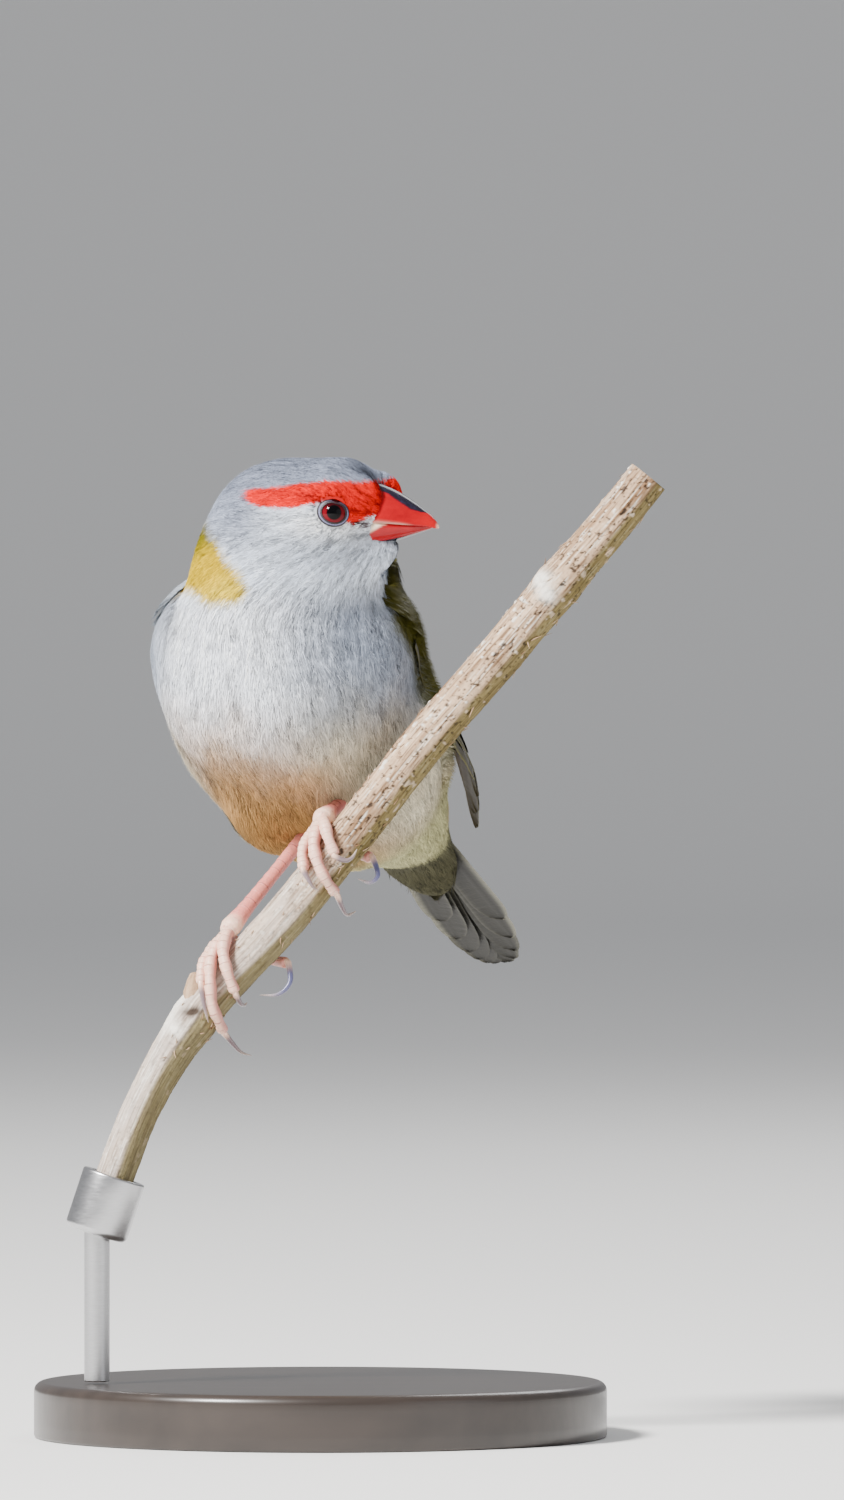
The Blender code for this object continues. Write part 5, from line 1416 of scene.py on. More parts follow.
def smooth_path(knots, steps):
    """Points along a smooth curve through the knots, evenly spread in length."""
    knots = np.asarray(knots, float)
    padded = np.vstack([2 * knots[0] - knots[1], knots, 2 * knots[-1] - knots[-2]])
    dense = []
    for index in range(len(knots) - 1):
        before, first, second, after = padded[index:index + 4]
        for share in np.linspace(0.0, 1.0, 24, endpoint=False):
            dense.append(0.5 * (
                2 * first + (second - before) * share
                + (2 * before - 5 * first + 4 * second - after) * share ** 2
                + (3 * first - before - 3 * second + after) * share ** 3
            ))
    dense.append(knots[-1])
    dense = np.array(dense)
    lengths = np.concatenate([[0.0], np.cumsum(np.linalg.norm(np.diff(dense, axis=0), axis=1))])
    wanted = np.linspace(0.0, lengths[-1], steps)
    return np.stack([np.interp(wanted, lengths, dense[:, axis]) for axis in range(3)], axis=1)


def path_frames(path, guess):
    """The direction at each point of a path and two directions across it that never twist."""
    ways = unit(np.gradient(path, axis=0))
    firsts = []
    for way in ways:
        guess = unit(guess - way * np.dot(guess, way))
        firsts.append(guess)
    firsts = np.array(firsts)
    return ways, firsts, np.cross(ways, firsts)


PERCH_CURVE = smooth_path([(x, PERCH_PLANE, z) for x, z in PERCH_LINE], 400)
PERCH_LENGTHS = np.concatenate([[0.0], np.cumsum(np.linalg.norm(np.diff(PERCH_CURVE, axis=0), axis=1))])


def perch_middle(place):
    """Middle line of the perch at distances from its lower end, its way and its upper-left side."""
    def on_curve(where):
        return np.stack([np.interp(where, PERCH_LENGTHS, axis) for axis in PERCH_CURVE.T], axis=-1)

    way = unit(on_curve(np.asarray(place) + 0.5) - on_curve(np.asarray(place) - 0.5))
    upper = np.stack([-way[..., 2], np.zeros_like(way[..., 0]), way[..., 0]], axis=-1)
    return on_curve(place), way, upper


def round_perch(place, turn, radius):
    """Points round the perch; the turn starts on its upper left side and goes over the front."""
    here, _, upper = perch_middle(place)
    angle = np.radians(np.asarray(turn, float))[..., None]
    front = np.array([0.0, -1.0, 0.0])
    return here + np.asarray(radius)[..., None] * (np.cos(angle) * upper + np.sin(angle) * front)


BARK_PALE = linear(202, 172, 142)
BARK_BROWN = linear(132, 98, 68)
BARK_GREY = linear(198, 192, 186)
BARK_DARK = linear(52, 40, 32)
BARK_GREEN_SHADE = linear(122, 110, 60)
BARK_GREEN_SHADE_DARK = linear(76, 66, 32)
SCAR_PALE = linear(240, 236, 226)


# Where the olive side of the stem begins, in degrees round it; its edge is a painted shadow line.
GREEN_SHADE_FROM = {0.0: 92.0, 31.0: 92.0, 36.0: 106.0, 50.0: 116.0, 122.0: 118.0}
# Pale scars of the stem: place along it, turn round it, half length and half width in degrees.
STEM_SCARS = (
    (101.0, 40.0, 1.1, 34.0), (100.0, 84.0, 0.8, 20.0), (32.0, 8.0, 2.4, 26.0), (28.6, 62.0, 0.7, 20.0),
    (29.0, 20.0, 1.6, 20.0),
)


def bark(place, turn):
    """How far the bark stands out and its colour, at distances along the stem and degrees round it."""
    angle = np.radians(turn)
    fibre = round_grain(place / 7.0, angle, 8.0, 51, 3)
    strand = round_grain(place / 3.2, angle, 20.0, 57, 2)
    lumps = round_grain(place / 5.0, angle, 1.6, 61, 3)
    coarse_specks = round_grain(place / 0.55, angle, 6.0, 67, 2)
    specks = np.maximum(coarse_specks, round_grain(place / 0.34, angle, 9.0, 75, 2))
    flakes = round_grain(place / 0.8, angle, 3.6, 69, 2)
    worn = round_grain(place / 9.0, angle, 1.2, 71, 3)
    smooth_part = 1.0 - eased(place, 46.0, 62.0)
    pits = eased(specks, 0.34, 0.56) * (1.0 - 0.7 * smooth_part)
    chips = eased(flakes, 0.42, 0.60) * (1.0 - 0.6 * smooth_part)
    ribs = 0.5 + 0.5 * np.cos(angle * 16.0 + 1.6 * lumps)
    raised = 0.07 * fibre + 0.07 * strand + 0.10 * lumps - 0.10 * pits + 0.10 * chips
    raised = raised + 0.05 * ribs * smooth_part
    tint = mixed(BARK_PALE, BARK_BROWN, np.clip(0.40 + 0.7 * worn + 0.8 * fibre, 0.0, 1.0))
    tint = mixed(tint, BARK_GREY, smooth_part * (0.6 + 0.3 * worn))
    tint = mixed(tint, BARK_BROWN * 0.55, 0.8 * eased(strand, 0.08, 0.45) * (1.0 - 0.4 * smooth_part))
    tint = mixed(tint, SCAR_PALE, 0.6 * eased(-strand, 0.25, 0.60))
    tint = mixed(tint, SCAR_PALE, 0.75 * chips)
    tint = mixed(tint, BARK_DARK, 0.92 * pits)
    # The olive side round the front and lower right is partly the stem's green and partly painted shade,
    # its sharp edge a painted shadow line.
    rim_turn = table_value(GREEN_SHADE_FROM, place) + 5.0 * worn + 3.0 * strand
    around = np.mod(turn, 360.0)
    green = 0.85 * eased(around - rim_turn, -9.0, 9.0) * (1.0 - eased(around, 205.0, 240.0))
    green_shade_tone = mixed(BARK_GREEN_SHADE, BARK_GREEN_SHADE_DARK, np.clip(0.4 + 0.9 * strand + 0.5 * fibre, 0.0, 1.0))
    green_shade_tone = mixed(green_shade_tone, BARK_PALE, 0.5 * chips)
    green_shade_tone = mixed(green_shade_tone, BARK_DARK, 0.7 * pits)
    tint = mixed(tint, green_shade_tone, green)
    for where, round_at, long, wide in STEM_SCARS:
        away = ((place - where) / long) ** 2 + ((turn - round_at) / wide) ** 2
        scar = np.exp(-away * (1.0 + 0.6 * fibre))
        flaky = np.clip(scar * 1.3, 0.0, 1.0) * (0.75 + 0.25 * eased(specks, -0.3, 0.2))
        tint = mixed(tint, SCAR_PALE, 0.9 * flaky)
        raised = raised + 0.12 * scar * (1.0 + specks)
    hollow = np.exp(-(((place - 31.6 - (turn - 70.0) * 0.03) / 0.75) ** 2 + ((turn - 74.0) / 22.0) ** 2))
    tint = mixed(tint, BARK_DARK, 0.95 * np.clip(1.3 * hollow, 0.0, 1.0))
    return raised - 0.40 * hollow, tint


def stem():
    """The cut stem with its bark, swollen joints and flat cut ends."""
    rows, columns = 720, 128
    place = np.linspace(PERCH_START, PERCH_END, rows)[:, None]
    turn = np.linspace(0.0, 360.0, columns, endpoint=False)[None, :]
    place, turn = np.broadcast_arrays(place, turn)
    raised, tint = bark(place, turn)
    radius = table_value(PERCH_RADII, place) - 0.10 + raised
    points = round_perch(place, turn, radius)
    flat = points.reshape(-1, 3)
    faces = [grid_faces(rows, columns, wrap=True)]
    colours = [tint.reshape(-1, 3)]
    total = len(flat)
    extra = []
    caps = []
    for end, ring, turned in ((PERCH_START, points[0], True), (PERCH_END, points[-1], False)):
        centre = perch_middle(end)[0]
        steps = (0.97, 0.72, 0.45, 0.2)
        previous = 0 if turned else (rows - 1) * columns
        for level, share in enumerate(steps):
            here = total + len(extra) * columns
            wave = 0.05 * rough_noise(ring * 1.5, 77 + level, 2)[:, None] * perch_middle(end)[1]
            extra.append(centre + (ring - centre) * share + wave)
            spots = 0.2 * rough_noise(ring * 2.0, 83, 2)
            tone = mixed(SCAR_PALE, BARK_BROWN, 0.25 + 0.3 * (level % 2) + spots)
            colours.append(mixed(tone, BARK_DARK, 0.5 if level == 3 else 0.0))
            order = np.arange(columns)
            after = (order + 1) % columns
            quad = [previous + order, previous + after, here + after, here + order]
            caps.append(np.stack(quad[::-1] if turned else quad, axis=-1))
            previous = here
        extra.append(np.repeat(centre[None], columns, axis=0))
        colours.append(np.broadcast_to(BARK_DARK, (columns, 3)))
        here = total + (len(extra) - 1) * columns
        quad = [previous + order, previous + after, here + after, here + order]
        caps.append(np.stack(quad[::-1] if turned else quad, axis=-1))
    flat = np.concatenate([flat, *extra])
    return flat, [np.concatenate(faces + caps)], np.concatenate(colours)


def tube(path, radii, columns, guess, shape=None, tint=None):
    """A closed tube along a path; shape and tint are worked out from the share along and the turn round."""
    rows = len(path)
    _, firsts, seconds = path_frames(path, guess)
    along = np.linspace(0.0, 1.0, rows)[:, None]
    turn = np.linspace(0.0, 2 * math.pi, columns, endpoint=False)[None, :]
    along, turn = np.broadcast_arrays(along, turn)
    radius = np.asarray(radii)[:, None] * (shape(along, turn) if shape else 1.0)
    points = (
        path[:, None] + (radius * np.cos(turn))[..., None] * firsts[:, None]
        + (radius * np.sin(turn))[..., None] * seconds[:, None]
    )
    colours = tint(along, turn) if tint else np.ones(points.shape)
    return with_ends(points, path[0], path[-1]), capped(rows, columns), with_ends(colours)


SPLINTERS = 110


def splinters(rng):
    """Small shards of bark that stand off the stem."""
    parts = []
    for _ in range(SPLINTERS):
        place = rng.uniform(24.0, PERCH_END - 1.0)
        turn = rng.uniform(-60.0, 200.0)
        long = rng.uniform(0.5, 1.6) * (1.0 if place > 55.0 else 0.6)
        slew = rng.uniform(-14.0, 14.0)
        rise = rng.uniform(0.10, 0.42)
        radius = float(table_value(PERCH_RADII, place)) - 0.12
        way = rng.choice([-1.0, 1.0])
        knots = [
            round_perch(place, turn, radius),
            round_perch(place + way * 0.5 * long, turn + 0.4 * slew, radius + 0.25 * rise + 0.12),
            round_perch(place + way * long, turn + slew, radius + rise + 0.12),
        ]
        wide = rng.uniform(0.06, 0.15)
        path = smooth_path(knots, 6)
        radii = wide * np.array([0.9, 1.0, 0.85, 0.6, 0.35, 0.1])
        tone = mixed(BARK_PALE, BARK_BROWN, rng.uniform(0.0, 1.0))
        part = tube(path, radii, 5, np.array([0.3, 0.9, 0.1]), lambda a, t: 1.0 - 0.45 * np.abs(np.sin(t)))
        parts.append((part[0], part[1], np.broadcast_to(tone, part[0].shape)))
    return parts


def stub():
    """The short dead side shoot above the lower joint of the stem."""
    start = round_perch(32.6, 22.0, 1.5)
    end = round_perch(35.6, 18.0, 3.6)
    path = smooth_path([start, 0.5 * (start + end), end], 40)
    radii = np.interp(np.linspace(0, 1, 40), (0.0, 0.4, 0.7, 0.95, 1.0), (1.35, 1.25, 1.05, 0.75, 0.3))

    def shape(along, turn):
        return 1.0 + 0.10 * round_grain(along * 3.0, turn, 4.0, 91, 3)

    def tint(along, turn):
        grain = round_grain(along * 2.0, turn, 5.0, 93, 3)
        return mixed(BARK_PALE, BARK_BROWN, np.clip(0.4 + 0.6 * grain, 0.0, 1.0))

    return tube(path, radii, 28, np.array([0.0, 1.0, 0.0]), shape, tint)


# Legs, toes and claws

TOE_RADIUS = 0.82
TOE_STEPS = 110
LEG_STEPS = 150
STEM_AT_FEET = 2.9
GRIP = STEM_AT_FEET + GAP + TOE_RADIUS
ANKLE_STUB = 2.5
LEG_PINK = linear(228, 140, 128)
LEG_SHADE = linear(176, 80, 82)
# Pale of the toes, also used as their painted lit side.
TOE_PALE_AND_LIT = linear(248, 204, 180)
CLAW_HORN = linear(126, 108, 112)
CLAW_TIP = linear(196, 176, 160)
CLAW_BLUE = linear(92, 92, 130)

# Each toe: places along the perch and turns round it, then the claw's points as place, turn and radius.
TOES = {
    "right": {
        "joint": 42.0,
        "heel": (-4.0, 1.4, 73.0),
        "toes": (
            ((42.0, 0), (39.9, 14), (37.7, 42), (35.6, 75), (33.9, 101), (32.9, 126), (32.1, 152)),
            ((42.0, 0), (41.2, 20), (39.7, 46), (38.3, 80), (37.2, 112)),
            ((42.0, 0), (40.5, -2), (38.3, 13), (36.5, 35), (35.3, 56)),
            ((42.0, 0), (41.4, -40), (42.0, -85), (43.0, -125), (43.9, -160)),
        ),
        "claws": (
            ((31.9, 164, 4.15), (31.3, 180, 5.6), (31.0, 188, 7.2), (31.4, 192, 8.6)),
            ((36.9, 124, 4.0), (36.5, 140, 4.1), (36.6, 158, 4.0), (37.1, 172, 3.8)),
            ((34.9, 66, 4.0), (33.6, 84, 4.2), (32.5, 102, 4.1), (31.8, 115, 3.9)),
            ((43.6, -172, 4.6), (42.6, -182, 5.9), (40.6, -186, 5.9), (38.9, -186, 4.3)),
        ),
    },
    "left": {
        "joint": 60.5,
        "heel": (3.8, 2.0, 80.6),
        "toes": (
            ((60.5, 0), (58.9, 22), (57.2, 48), (55.9, 76), (55.0, 104), (54.5, 132)),
            ((60.5, 0), (58.0, 4), (55.9, 30), (54.5, 56)),
            ((60.5, 0), (60.4, 28), (59.4, 56), (58.3, 84)),
            ((60.5, 0), (59.3, -40), (59.3, -80), (59.9, -118), (60.5, -150)),
        ),
        "claws": (
            ((54.2, 147, 4.2), (53.5, 166, 4.9), (53.2, 180, 5.8), (54.2, 188, 6.4)),
            ((54.1, 69, 4.1), (53.6, 82, 4.3), (53.3, 94, 4.2), (53.4, 106, 3.9)),
            ((58.2, 96, 4.1), (58.4, 108, 4.4), (59.2, 114, 4.4), (60.4, 114, 4.0)),
            ((60.2, -164, 4.7), (59.4, -176, 5.7), (58.1, -182, 5.5), (57.5, -184, 4.0)),
        ),
    },
}


def toe_path(knots, count):
    """The middle line of a toe that wraps the perch."""
    return smooth_path([round_perch(place, turn, GRIP) for place, turn in knots], count)


def scuted(along, turn, plates, height):
    """Overlapping plates on the outer side of a leg or toe and soft pads on the inner side."""
    saw = (along * plates) % 1.0
    outer = eased(np.cos(turn), -0.2, 0.5)
    return 1.0 + height * outer * (0.5 - saw) * eased(saw, 0.0, 0.12)


def toe(side_name, number):
    """One toe with its plates and pads."""
    knots = TOES[side_name]["toes"][number]
    path = toe_path(knots, TOE_STEPS)
    way = unit(path[-1] - path[-2])
    ends = np.array([0.12, 0.22, 0.3, 0.36])
    path = np.vstack([path, path[-1] + way * ends[:, None]])
    along = np.linspace(0.0, 1.0, TOE_STEPS)
    bends = len(knots) - 2
    radii = TOE_RADIUS * (1.0 - 0.20 * along + 0.07 * np.cos(along * 2 * math.pi * bends))
    radii = np.concatenate([radii, radii[-1] * np.array([0.97, 0.86, 0.62, 0.25])])
    first_out = round_perch(*knots[0], 1.0) - perch_middle(knots[0][0])[0]

    plates = 13 if number in (0, 3) else 10

    def shape(along, turn):
        return scuted(along, turn, plates, 0.14)

    def tint(along, turn):
        saw = (along * plates) % 1.0
        # Painted light and shade: the outer side of the toe is pale as if lit, and the side against the
        # stem takes the painted shade colour.
        outer = eased(np.cos(turn), -0.3, 0.5)
        tone = mixed(LEG_SHADE, TOE_PALE_AND_LIT, 0.35 + 0.55 * outer)
        seam = np.exp(-((saw - 0.03) / 0.07) ** 2) * outer
        return mixed(tone, LEG_SHADE * 0.45, 0.85 * seam)

    return tube(path, radii, 28, first_out, shape, tint)


def ankle(side_name):
    """The stub that joins the toes and meets the leg."""
    plan = TOES[side_name]
    joint = round_perch(plan["joint"], 0.0, GRIP + 0.15)
    way = unit(np.array(plan["heel"]) - joint)
    path = smooth_path([joint - way * 0.7, joint, joint + way * 0.9, joint + way * (ANKLE_STUB + 0.5)], 40)
    along = np.linspace(0.0, 1.0, 40)
    radii = np.interp(along, (0.0, 0.12, 0.35, 0.6, 1.0), (0.4, 1.05, 1.3, 1.24, 1.05))

    def tint(along, turn):
        tone = mixed(TOE_PALE_AND_LIT, LEG_PINK, eased(along, 0.4, 0.9))
        return mixed(tone, LEG_SHADE, 0.5 * eased(round_grain(along * 9.0, turn, 2.5, 97, 2), 0.1, 0.7))

    def shape(along, turn):
        return 1.0 + 0.05 * round_grain(along * 9.0, turn, 2.5, 99, 3)

    return tube(path, radii, 30, np.array([0.0, -1.0, 0.3]), shape, tint)


def shank(side_name):
    """The bare leg between the ankle and the thigh's feathers, with a row of long plates in front."""
    plan = TOES[side_name]
    joint = round_perch(plan["joint"], 0.0, GRIP + 0.15)
    heel = np.array(plan["heel"])
    way = unit(heel - joint)
    start = joint + way * (ANKLE_STUB - 0.2)
    inside = 0.0
    for distance in np.linspace(0.0, 30.0, 121):
        inside = distance
        if body_distance((start + way * distance)[None])[0] < -1.6:
            break
    path = start + way * np.linspace(0.0, inside, LEG_STEPS)[:, None]
    along = np.linspace(0.0, 1.0, LEG_STEPS)
    radii = np.interp(along, (0.0, 0.15, 0.5, 0.85, 1.0), (1.16, 0.98, 0.86, 0.92, 1.0))
    plates = max(3, int(round(inside / 1.5)))

    def shape(along, turn):
        return scuted(along, turn, plates, 0.10) * (1.0 - 0.06 * np.abs(np.sin(turn)))

    def tint(along, turn):
        saw = (along * plates) % 1.0
        front = eased(np.cos(turn), -0.5, 0.4)
        tone = mixed(LEG_SHADE, LEG_PINK, 0.25 + 0.75 * front)
        seam = np.exp(-((saw - 0.02) / 0.04) ** 2) * front
        return mixed(tone, LEG_SHADE * 0.5, 0.75 * seam)

    return tube(path, radii, 32, np.array([-0.5, -0.8, 0.1]), shape, tint)


def claw(side_name, number):
    """One curved claw growing out of the end of its toe."""
    plan = TOES[side_name]
    toe_line = toe_path(plan["toes"][number], 60)
    end_way = unit(toe_line[-1] - toe_line[-2])
    start = toe_line[-1] + end_way * 0.05
    base = toe_line[-1] + end_way * 0.6
    knots = [start, base] + [round_perch(*place) for place in plan["claws"][number][1:]]
    path = smooth_path(knots, 60)
    along = np.linspace(0.0, 1.0, 60)
    radii = 0.5 * np.interp(along, (0.0, 0.15, 0.5, 0.8, 1.0), (1.05, 1.0, 0.72, 0.42, 0.08))
    horn = CLAW_BLUE if number == 3 else CLAW_HORN

    def tint(along, turn):
        tone = mixed(horn, CLAW_TIP, 0.75 * eased(along, 0.55, 1.0))
        tone = mixed(TOE_PALE_AND_LIT, tone, eased(along, 0.05, 0.3))
        streak = round_grain(along * 2.0, turn, 4.0, 103, 2)
        return tone * (1.0 + 0.15 * streak[..., None])

    first_out = start - perch_middle(plan["toes"][number][-1][0])[0]
    return tube(path, radii, 22, first_out, lambda a, t: 1.0 - 0.22 * np.abs(np.sin(t)), tint)


# The stand

BASE_RADIUS = 36.0
BASE_HEIGHT = 7.0
ROD_RADIUS = 1.6
CUP_RADIUS = 4.0
CUP_DEPTH = 6.0
CUP_FLOOR = 1.4


def turned(start, way, profile, columns):
    """Points and faces of a closed shape turned round an axis from (radius, height) pairs."""
    first, second, axis = axes_around(unit(way)) if abs(way[2]) < 0.999 else tuple(np.eye(3))
    turn = np.linspace(0.0, 2 * math.pi, columns, endpoint=False)[None, :, None]
    profile = np.array(profile)
    radius = profile[:, 0][:, None, None]
    height = profile[:, 1][:, None, None]
    points = start + axis * height + radius * (np.cos(turn) * first + np.sin(turn) * second)
    return with_ends(points), capped(len(profile), columns)


def rounded_corner(radius, height, size, start, end, steps=7):
    """Places round the corner of a turned profile; the turn runs from start to end in degrees."""
    angles = np.radians(np.linspace(start, end, steps))
    return [(radius + size * math.cos(angle), height + size * math.sin(angle)) for angle in angles]


# What a user would change

class FinchCoatSettings(bpy.types.PropertyGroup):
    """Sizes of the small body feathers."""

    feather_length: FloatProperty(
        name="Feather Length", description="Length of a small feather of the breast",
        default=0.0046, min=0.002, max=0.008, subtype="DISTANCE", unit="LENGTH",
    )
    lift: FloatProperty(
        name="Tip Lift", description="How far the feather tips stand above the smooth outside of the body",
        default=0.00005, min=0.0, max=0.0006, subtype="DISTANCE", unit="LENGTH",
    )


class FinchStandSettings(bpy.types.PropertyGroup):
    """Colours of the display stand."""

    base_colour: FloatVectorProperty(
        name="Base Colour", description="Colour of the lacquered wooden base",
        default=(0.030, 0.022, 0.018), min=0.0, max=1.0, subtype="COLOR",
    )
    rod_colour: FloatVectorProperty(
        name="Rod Colour", description="Colour of the steel rod and its cup",
        default=(0.56, 0.56, 0.57), min=0.0, max=1.0, subtype="COLOR",
    )


class FinchStageSettings(bpy.types.PropertyGroup):
    """The floor, the light and the camera."""

    floor_colour: FloatVectorProperty(
        name="Floor Colour", description="Colour of the plain floor and its sweep",
        default=(0.93, 0.925, 0.91), min=0.0, max=1.0, subtype="COLOR",
    )
    key_power: FloatProperty(
        name="Key Light", description="Power of the main lamp", default=52.0, min=0.0, unit="POWER",
    )
    distance: FloatProperty(
        name="Camera Distance", description="How far the camera stands from the bird",
        default=1.5, min=0.3, subtype="DISTANCE", unit="LENGTH",
    )


# Pieces

def build_skin():
    """The skin's grid and its mesh."""
    skin = Skin()
    rows = len(skin.run)
    flat = with_ends(skin.points, skin.tail_pole, skin.crown_pole)
    normals = with_ends(skin.normals, -skin.spine[0, 0], UP)
    tint = plumage_colour(flat, normals) * 0.62
    row, column = np.meshgrid(np.arange(rows), np.arange(AROUND), indexing="ij")
    patch = skin.unwrap(row, column).reshape(-1, 2)
    patch = np.concatenate([patch, [[0.01, 0.5], [0.99, 0.5]]])
    return skin, (flat, capped(rows, AROUND), tint, patch)


HEAD_FROM = 112.5
NECK_FROM = 103.0
BREAST_FROM = 86.0
WING_MARGIN_TURN = 9.0
WING_MARGIN_S = 4.0
EYE_CLEAR = (1.95, 1.68)


def coat_zones(roots):
    """Splits the coat into pieces that each stay light, by where the feathers grow."""
    height = roots.points[:, 2]
    back = roots.normals @ SPINE_OVER > 0.2
    head = height > HEAD_FROM
    ahead = (roots.points - HEAD) @ BILL_WAY > -1.0
    neck = (height <= HEAD_FROM) & (height > NECK_FROM)
    below = height <= NECK_FROM
    return {
        "coat_face": head & ahead,
        "coat_crown": head & ~ahead,
        "coat_throat": neck & ~back,
        "coat_nape": neck & back,
        "coat_breast": below & ~back & (height > BREAST_FROM),
        "coat_belly": below & ~back & (height <= BREAST_FROM),
        "coat_back": below & back,
    }


def clear_of_bare_parts(points, normals):
    """Which roots may grow a feather: none over the eyes, on the bill or under the wings."""
    free = ~under_wing(points, WING_MARGIN_TURN, WING_MARGIN_S)
    free &= (normals @ -SPINE_AHEAD < 0.75) | (points[:, 2] > 85.0)
    for side, (centre, outward) in EYES.items():
        rest = points - centre
        along, up = eye_ellipse(side, rest)
        near = np.hypot(along / EYE_CLEAR[0], up / EYE_CLEAR[1]) < 1.0
        free &= ~(near & (rest @ outward > 0))
    ahead = (points - HEAD) @ BILL_WAY
    side = np.abs((points - HEAD) @ HEAD_SIDE)
    up = (points - HEAD) @ HEAD_UP
    share = np.clip((ahead - BILL_BASE) / (BILL_TIP - BILL_BASE), 0.0, 1.0)
    culmen, _, gonys, half_width = bill_outline(share)
    middle = 0.5 * (culmen + gonys)
    inside = (side / half_width) ** 2 + ((up - middle) / (0.5 * (culmen - gonys))) ** 2 < 0.80
    free &= ~(inside & (ahead > 4.0))
    return free


def wing_cover_rise(points):
    """Extra height for feathers whose tips lie over the rim of a wing."""
    flat = points.reshape(-1, 3)
    rise = np.zeros(len(flat))
    for s, turn, low, high in over_wings(flat):
        inside = np.minimum(eased(turn, low - 5.0, low + 3.0), 1.0 - eased(turn, high - 4.0, high + 5.0))
        inside = inside * eased(s, WING_START - 2.0, WING_START + 2.5) * (1.0 - eased(s, 34.0, 42.0))
        rise = np.maximum(rise, inside)
    return 1.9 * rise.reshape(points.shape[:-1])


class FINCH_OT_add_body(bpy.types.Operator):
    """Adds the skin and the coat of small feathers over it"""

    bl_idname = "finch.add_body"
    bl_label = "Add Body and Coat"

    def execute(self, context):
        settings = context.scene.finch_coat
        skin, (points, faces, tint, patch) = build_skin()
        material = tinted_material("down")
        piece = make_piece("skin", points, faces, material, tint, patch)
        settle(piece, "body_feathers", "torso", "neck", "head")

        roots = Roots(skin, settings)
        free = clear_of_bare_parts(roots.points, roots.normals)
        barbs_at = table_value(BARBS_AT, roots.away)
        material = tinted_material("small_feathers")
        for seed, (name, zone) in enumerate(coat_zones(roots).items()):
            chosen = np.nonzero(zone & free)[0]
            depth = coat_depth(roots.points[chosen])
            length = roots.length[chosen]
            uneven = np.random.default_rng(RISE_SEED + seed).uniform(-0.09, 0.03, len(chosen))
            rise = (settings.lift * MILLIMETRES + uneven) * np.clip(length / 3.0, 0.3, 1.0)
            barbs = int(round(float(np.mean(barbs_at[chosen]))))
            pick = (roots.points[chosen], roots.normals[chosen], roots.flow[chosen], length,
                    roots.patch[chosen], depth, rise)
            fans = feather_fans(pick, barbs, FEATHER_WIDTH, FAN_SEED + seed, wing_cover_rise)
            leaves = under_leaves(pick, FEATHER_WIDTH * 0.9, wing_cover_rise)
            points, faces, tint, patch = joined([fans, leaves])
            piece = make_piece(name, points, faces, material, tint, patch)
            settle(piece, "body_feathers")
        return {"FINISHED"}


class FINCH_OT_add_wings(bpy.types.Operator):
    """Adds both wings, vane by vane"""

    bl_idname = "finch.add_wings"
    bl_label = "Add Wings"

    def execute(self, context):
        material = tinted_material("wing_vanes")
        for side, name in ((1, "right"), (-1, "left")):
            rng = np.random.default_rng(WING_SEED + side)
            parts = [wing_core(side)]
            for plan in wing_plans(side) + (edge_lit_underwing_plans() if side > 0 else []):
                parts.append(wing_vane(side, plan, rng))
            parts.append(wing_coverts(side, rng))
            points, faces, tint, _ = joined(parts)
            piece = make_piece("wing_feathers_" + name, points, faces, material, tint)
            settle(piece, "wing_feathers", "wing_" + name)
        return {"FINISHED"}


class FINCH_OT_add_tail(bpy.types.Operator):
    """Adds the long feathers of the tail"""

    bl_idname = "finch.add_tail"
    bl_label = "Add Tail"

    def execute(self, context):
        material = tinted_material("tail_vanes")
        points, faces, tint, _ = joined(tail_feathers(np.random.default_rng(TAIL_SEED)))
        piece = make_piece("tail_feathers", points, faces, material, tint)
        settle(piece, "tail_feathers", "tail")
        return {"FINISHED"}


class FINCH_OT_add_bill(bpy.types.Operator):
    """Adds both halves of the bill"""

    bl_idname = "finch.add_bill"
    bl_label = "Add Bill"

    def execute(self, context):
        material = tinted_material("bill_horn")
        for upper, name in ((True, "upper"), (False, "lower")):
            points, faces, tint = bill_half(upper)
            piece = make_piece("bill_horn_" + name, points, faces, material, tint)
            settle(piece, "bill", "bill_" + name)
        return {"FINISHED"}


class FINCH_OT_add_eyes(bpy.types.Operator):
    """Adds the eyeballs and the rings of bare skin round them"""

    bl_idname = "finch.add_eyes"
    bl_label = "Add Eyes"

    def execute(self, context):
        wet = tinted_material("eye_wet")
        bare = tinted_material("eye_ring_skin")
        for side, name in ((1, "right"), (-1, "left")):
            points, faces, tint = eyeball(side)
            piece = make_piece("eyeball_" + name, points, faces, wet, tint)
            settle(piece, "eye", "eye_" + name)
            points, faces, tint = eyelid(side)
            piece = make_piece("eye_ring_" + name, points, faces, bare, tint)
            settle(piece, "body_feathers")
        return {"FINISHED"}


class FINCH_OT_add_legs(bpy.types.Operator):
    """Adds the bare legs, the feet that grip the stem and their claws"""

    bl_idname = "finch.add_legs"
    bl_label = "Add Legs and Feet"

    def execute(self, context):
        scaly = tinted_material("leg_skin")
        horn = tinted_material("claw_horn")
        for name in ("right", "left"):
            points, faces, tint = shank(name)
            settle(make_piece("leg_" + name, points, faces, scaly, tint), "leg_skin", "tarsus_" + name)
            parts = [ankle(name)] + [toe(name, number) for number in range(4)]
            points, faces, tint, _ = joined(parts)
            settle(make_piece("toes_" + name, points, faces, scaly, tint), "leg_skin", "foot_" + name)
            for number in range(4):
                points, faces, tint = claw(name, number)
                label = name + "_" + str(number + 1)
                settle(make_piece("nail_" + label, points, faces, horn, tint), "claw", "claw_" + label)
        return {"FINISHED"}


class FINCH_OT_add_perch(bpy.types.Operator):
    """Adds the cut length of dry stem"""

    bl_idname = "finch.add_perch"
    bl_label = "Add Perch"

    def execute(self, context):
        material = tinted_material("dry_bark")
        points, faces, tint, _ = joined([stem(), stub(), *splinters(np.random.default_rng(SPLINTER_SEED))])
        settle(make_piece("dry_stem", points, faces, material, tint), "stem", "perch")
        return {"FINISHED"}


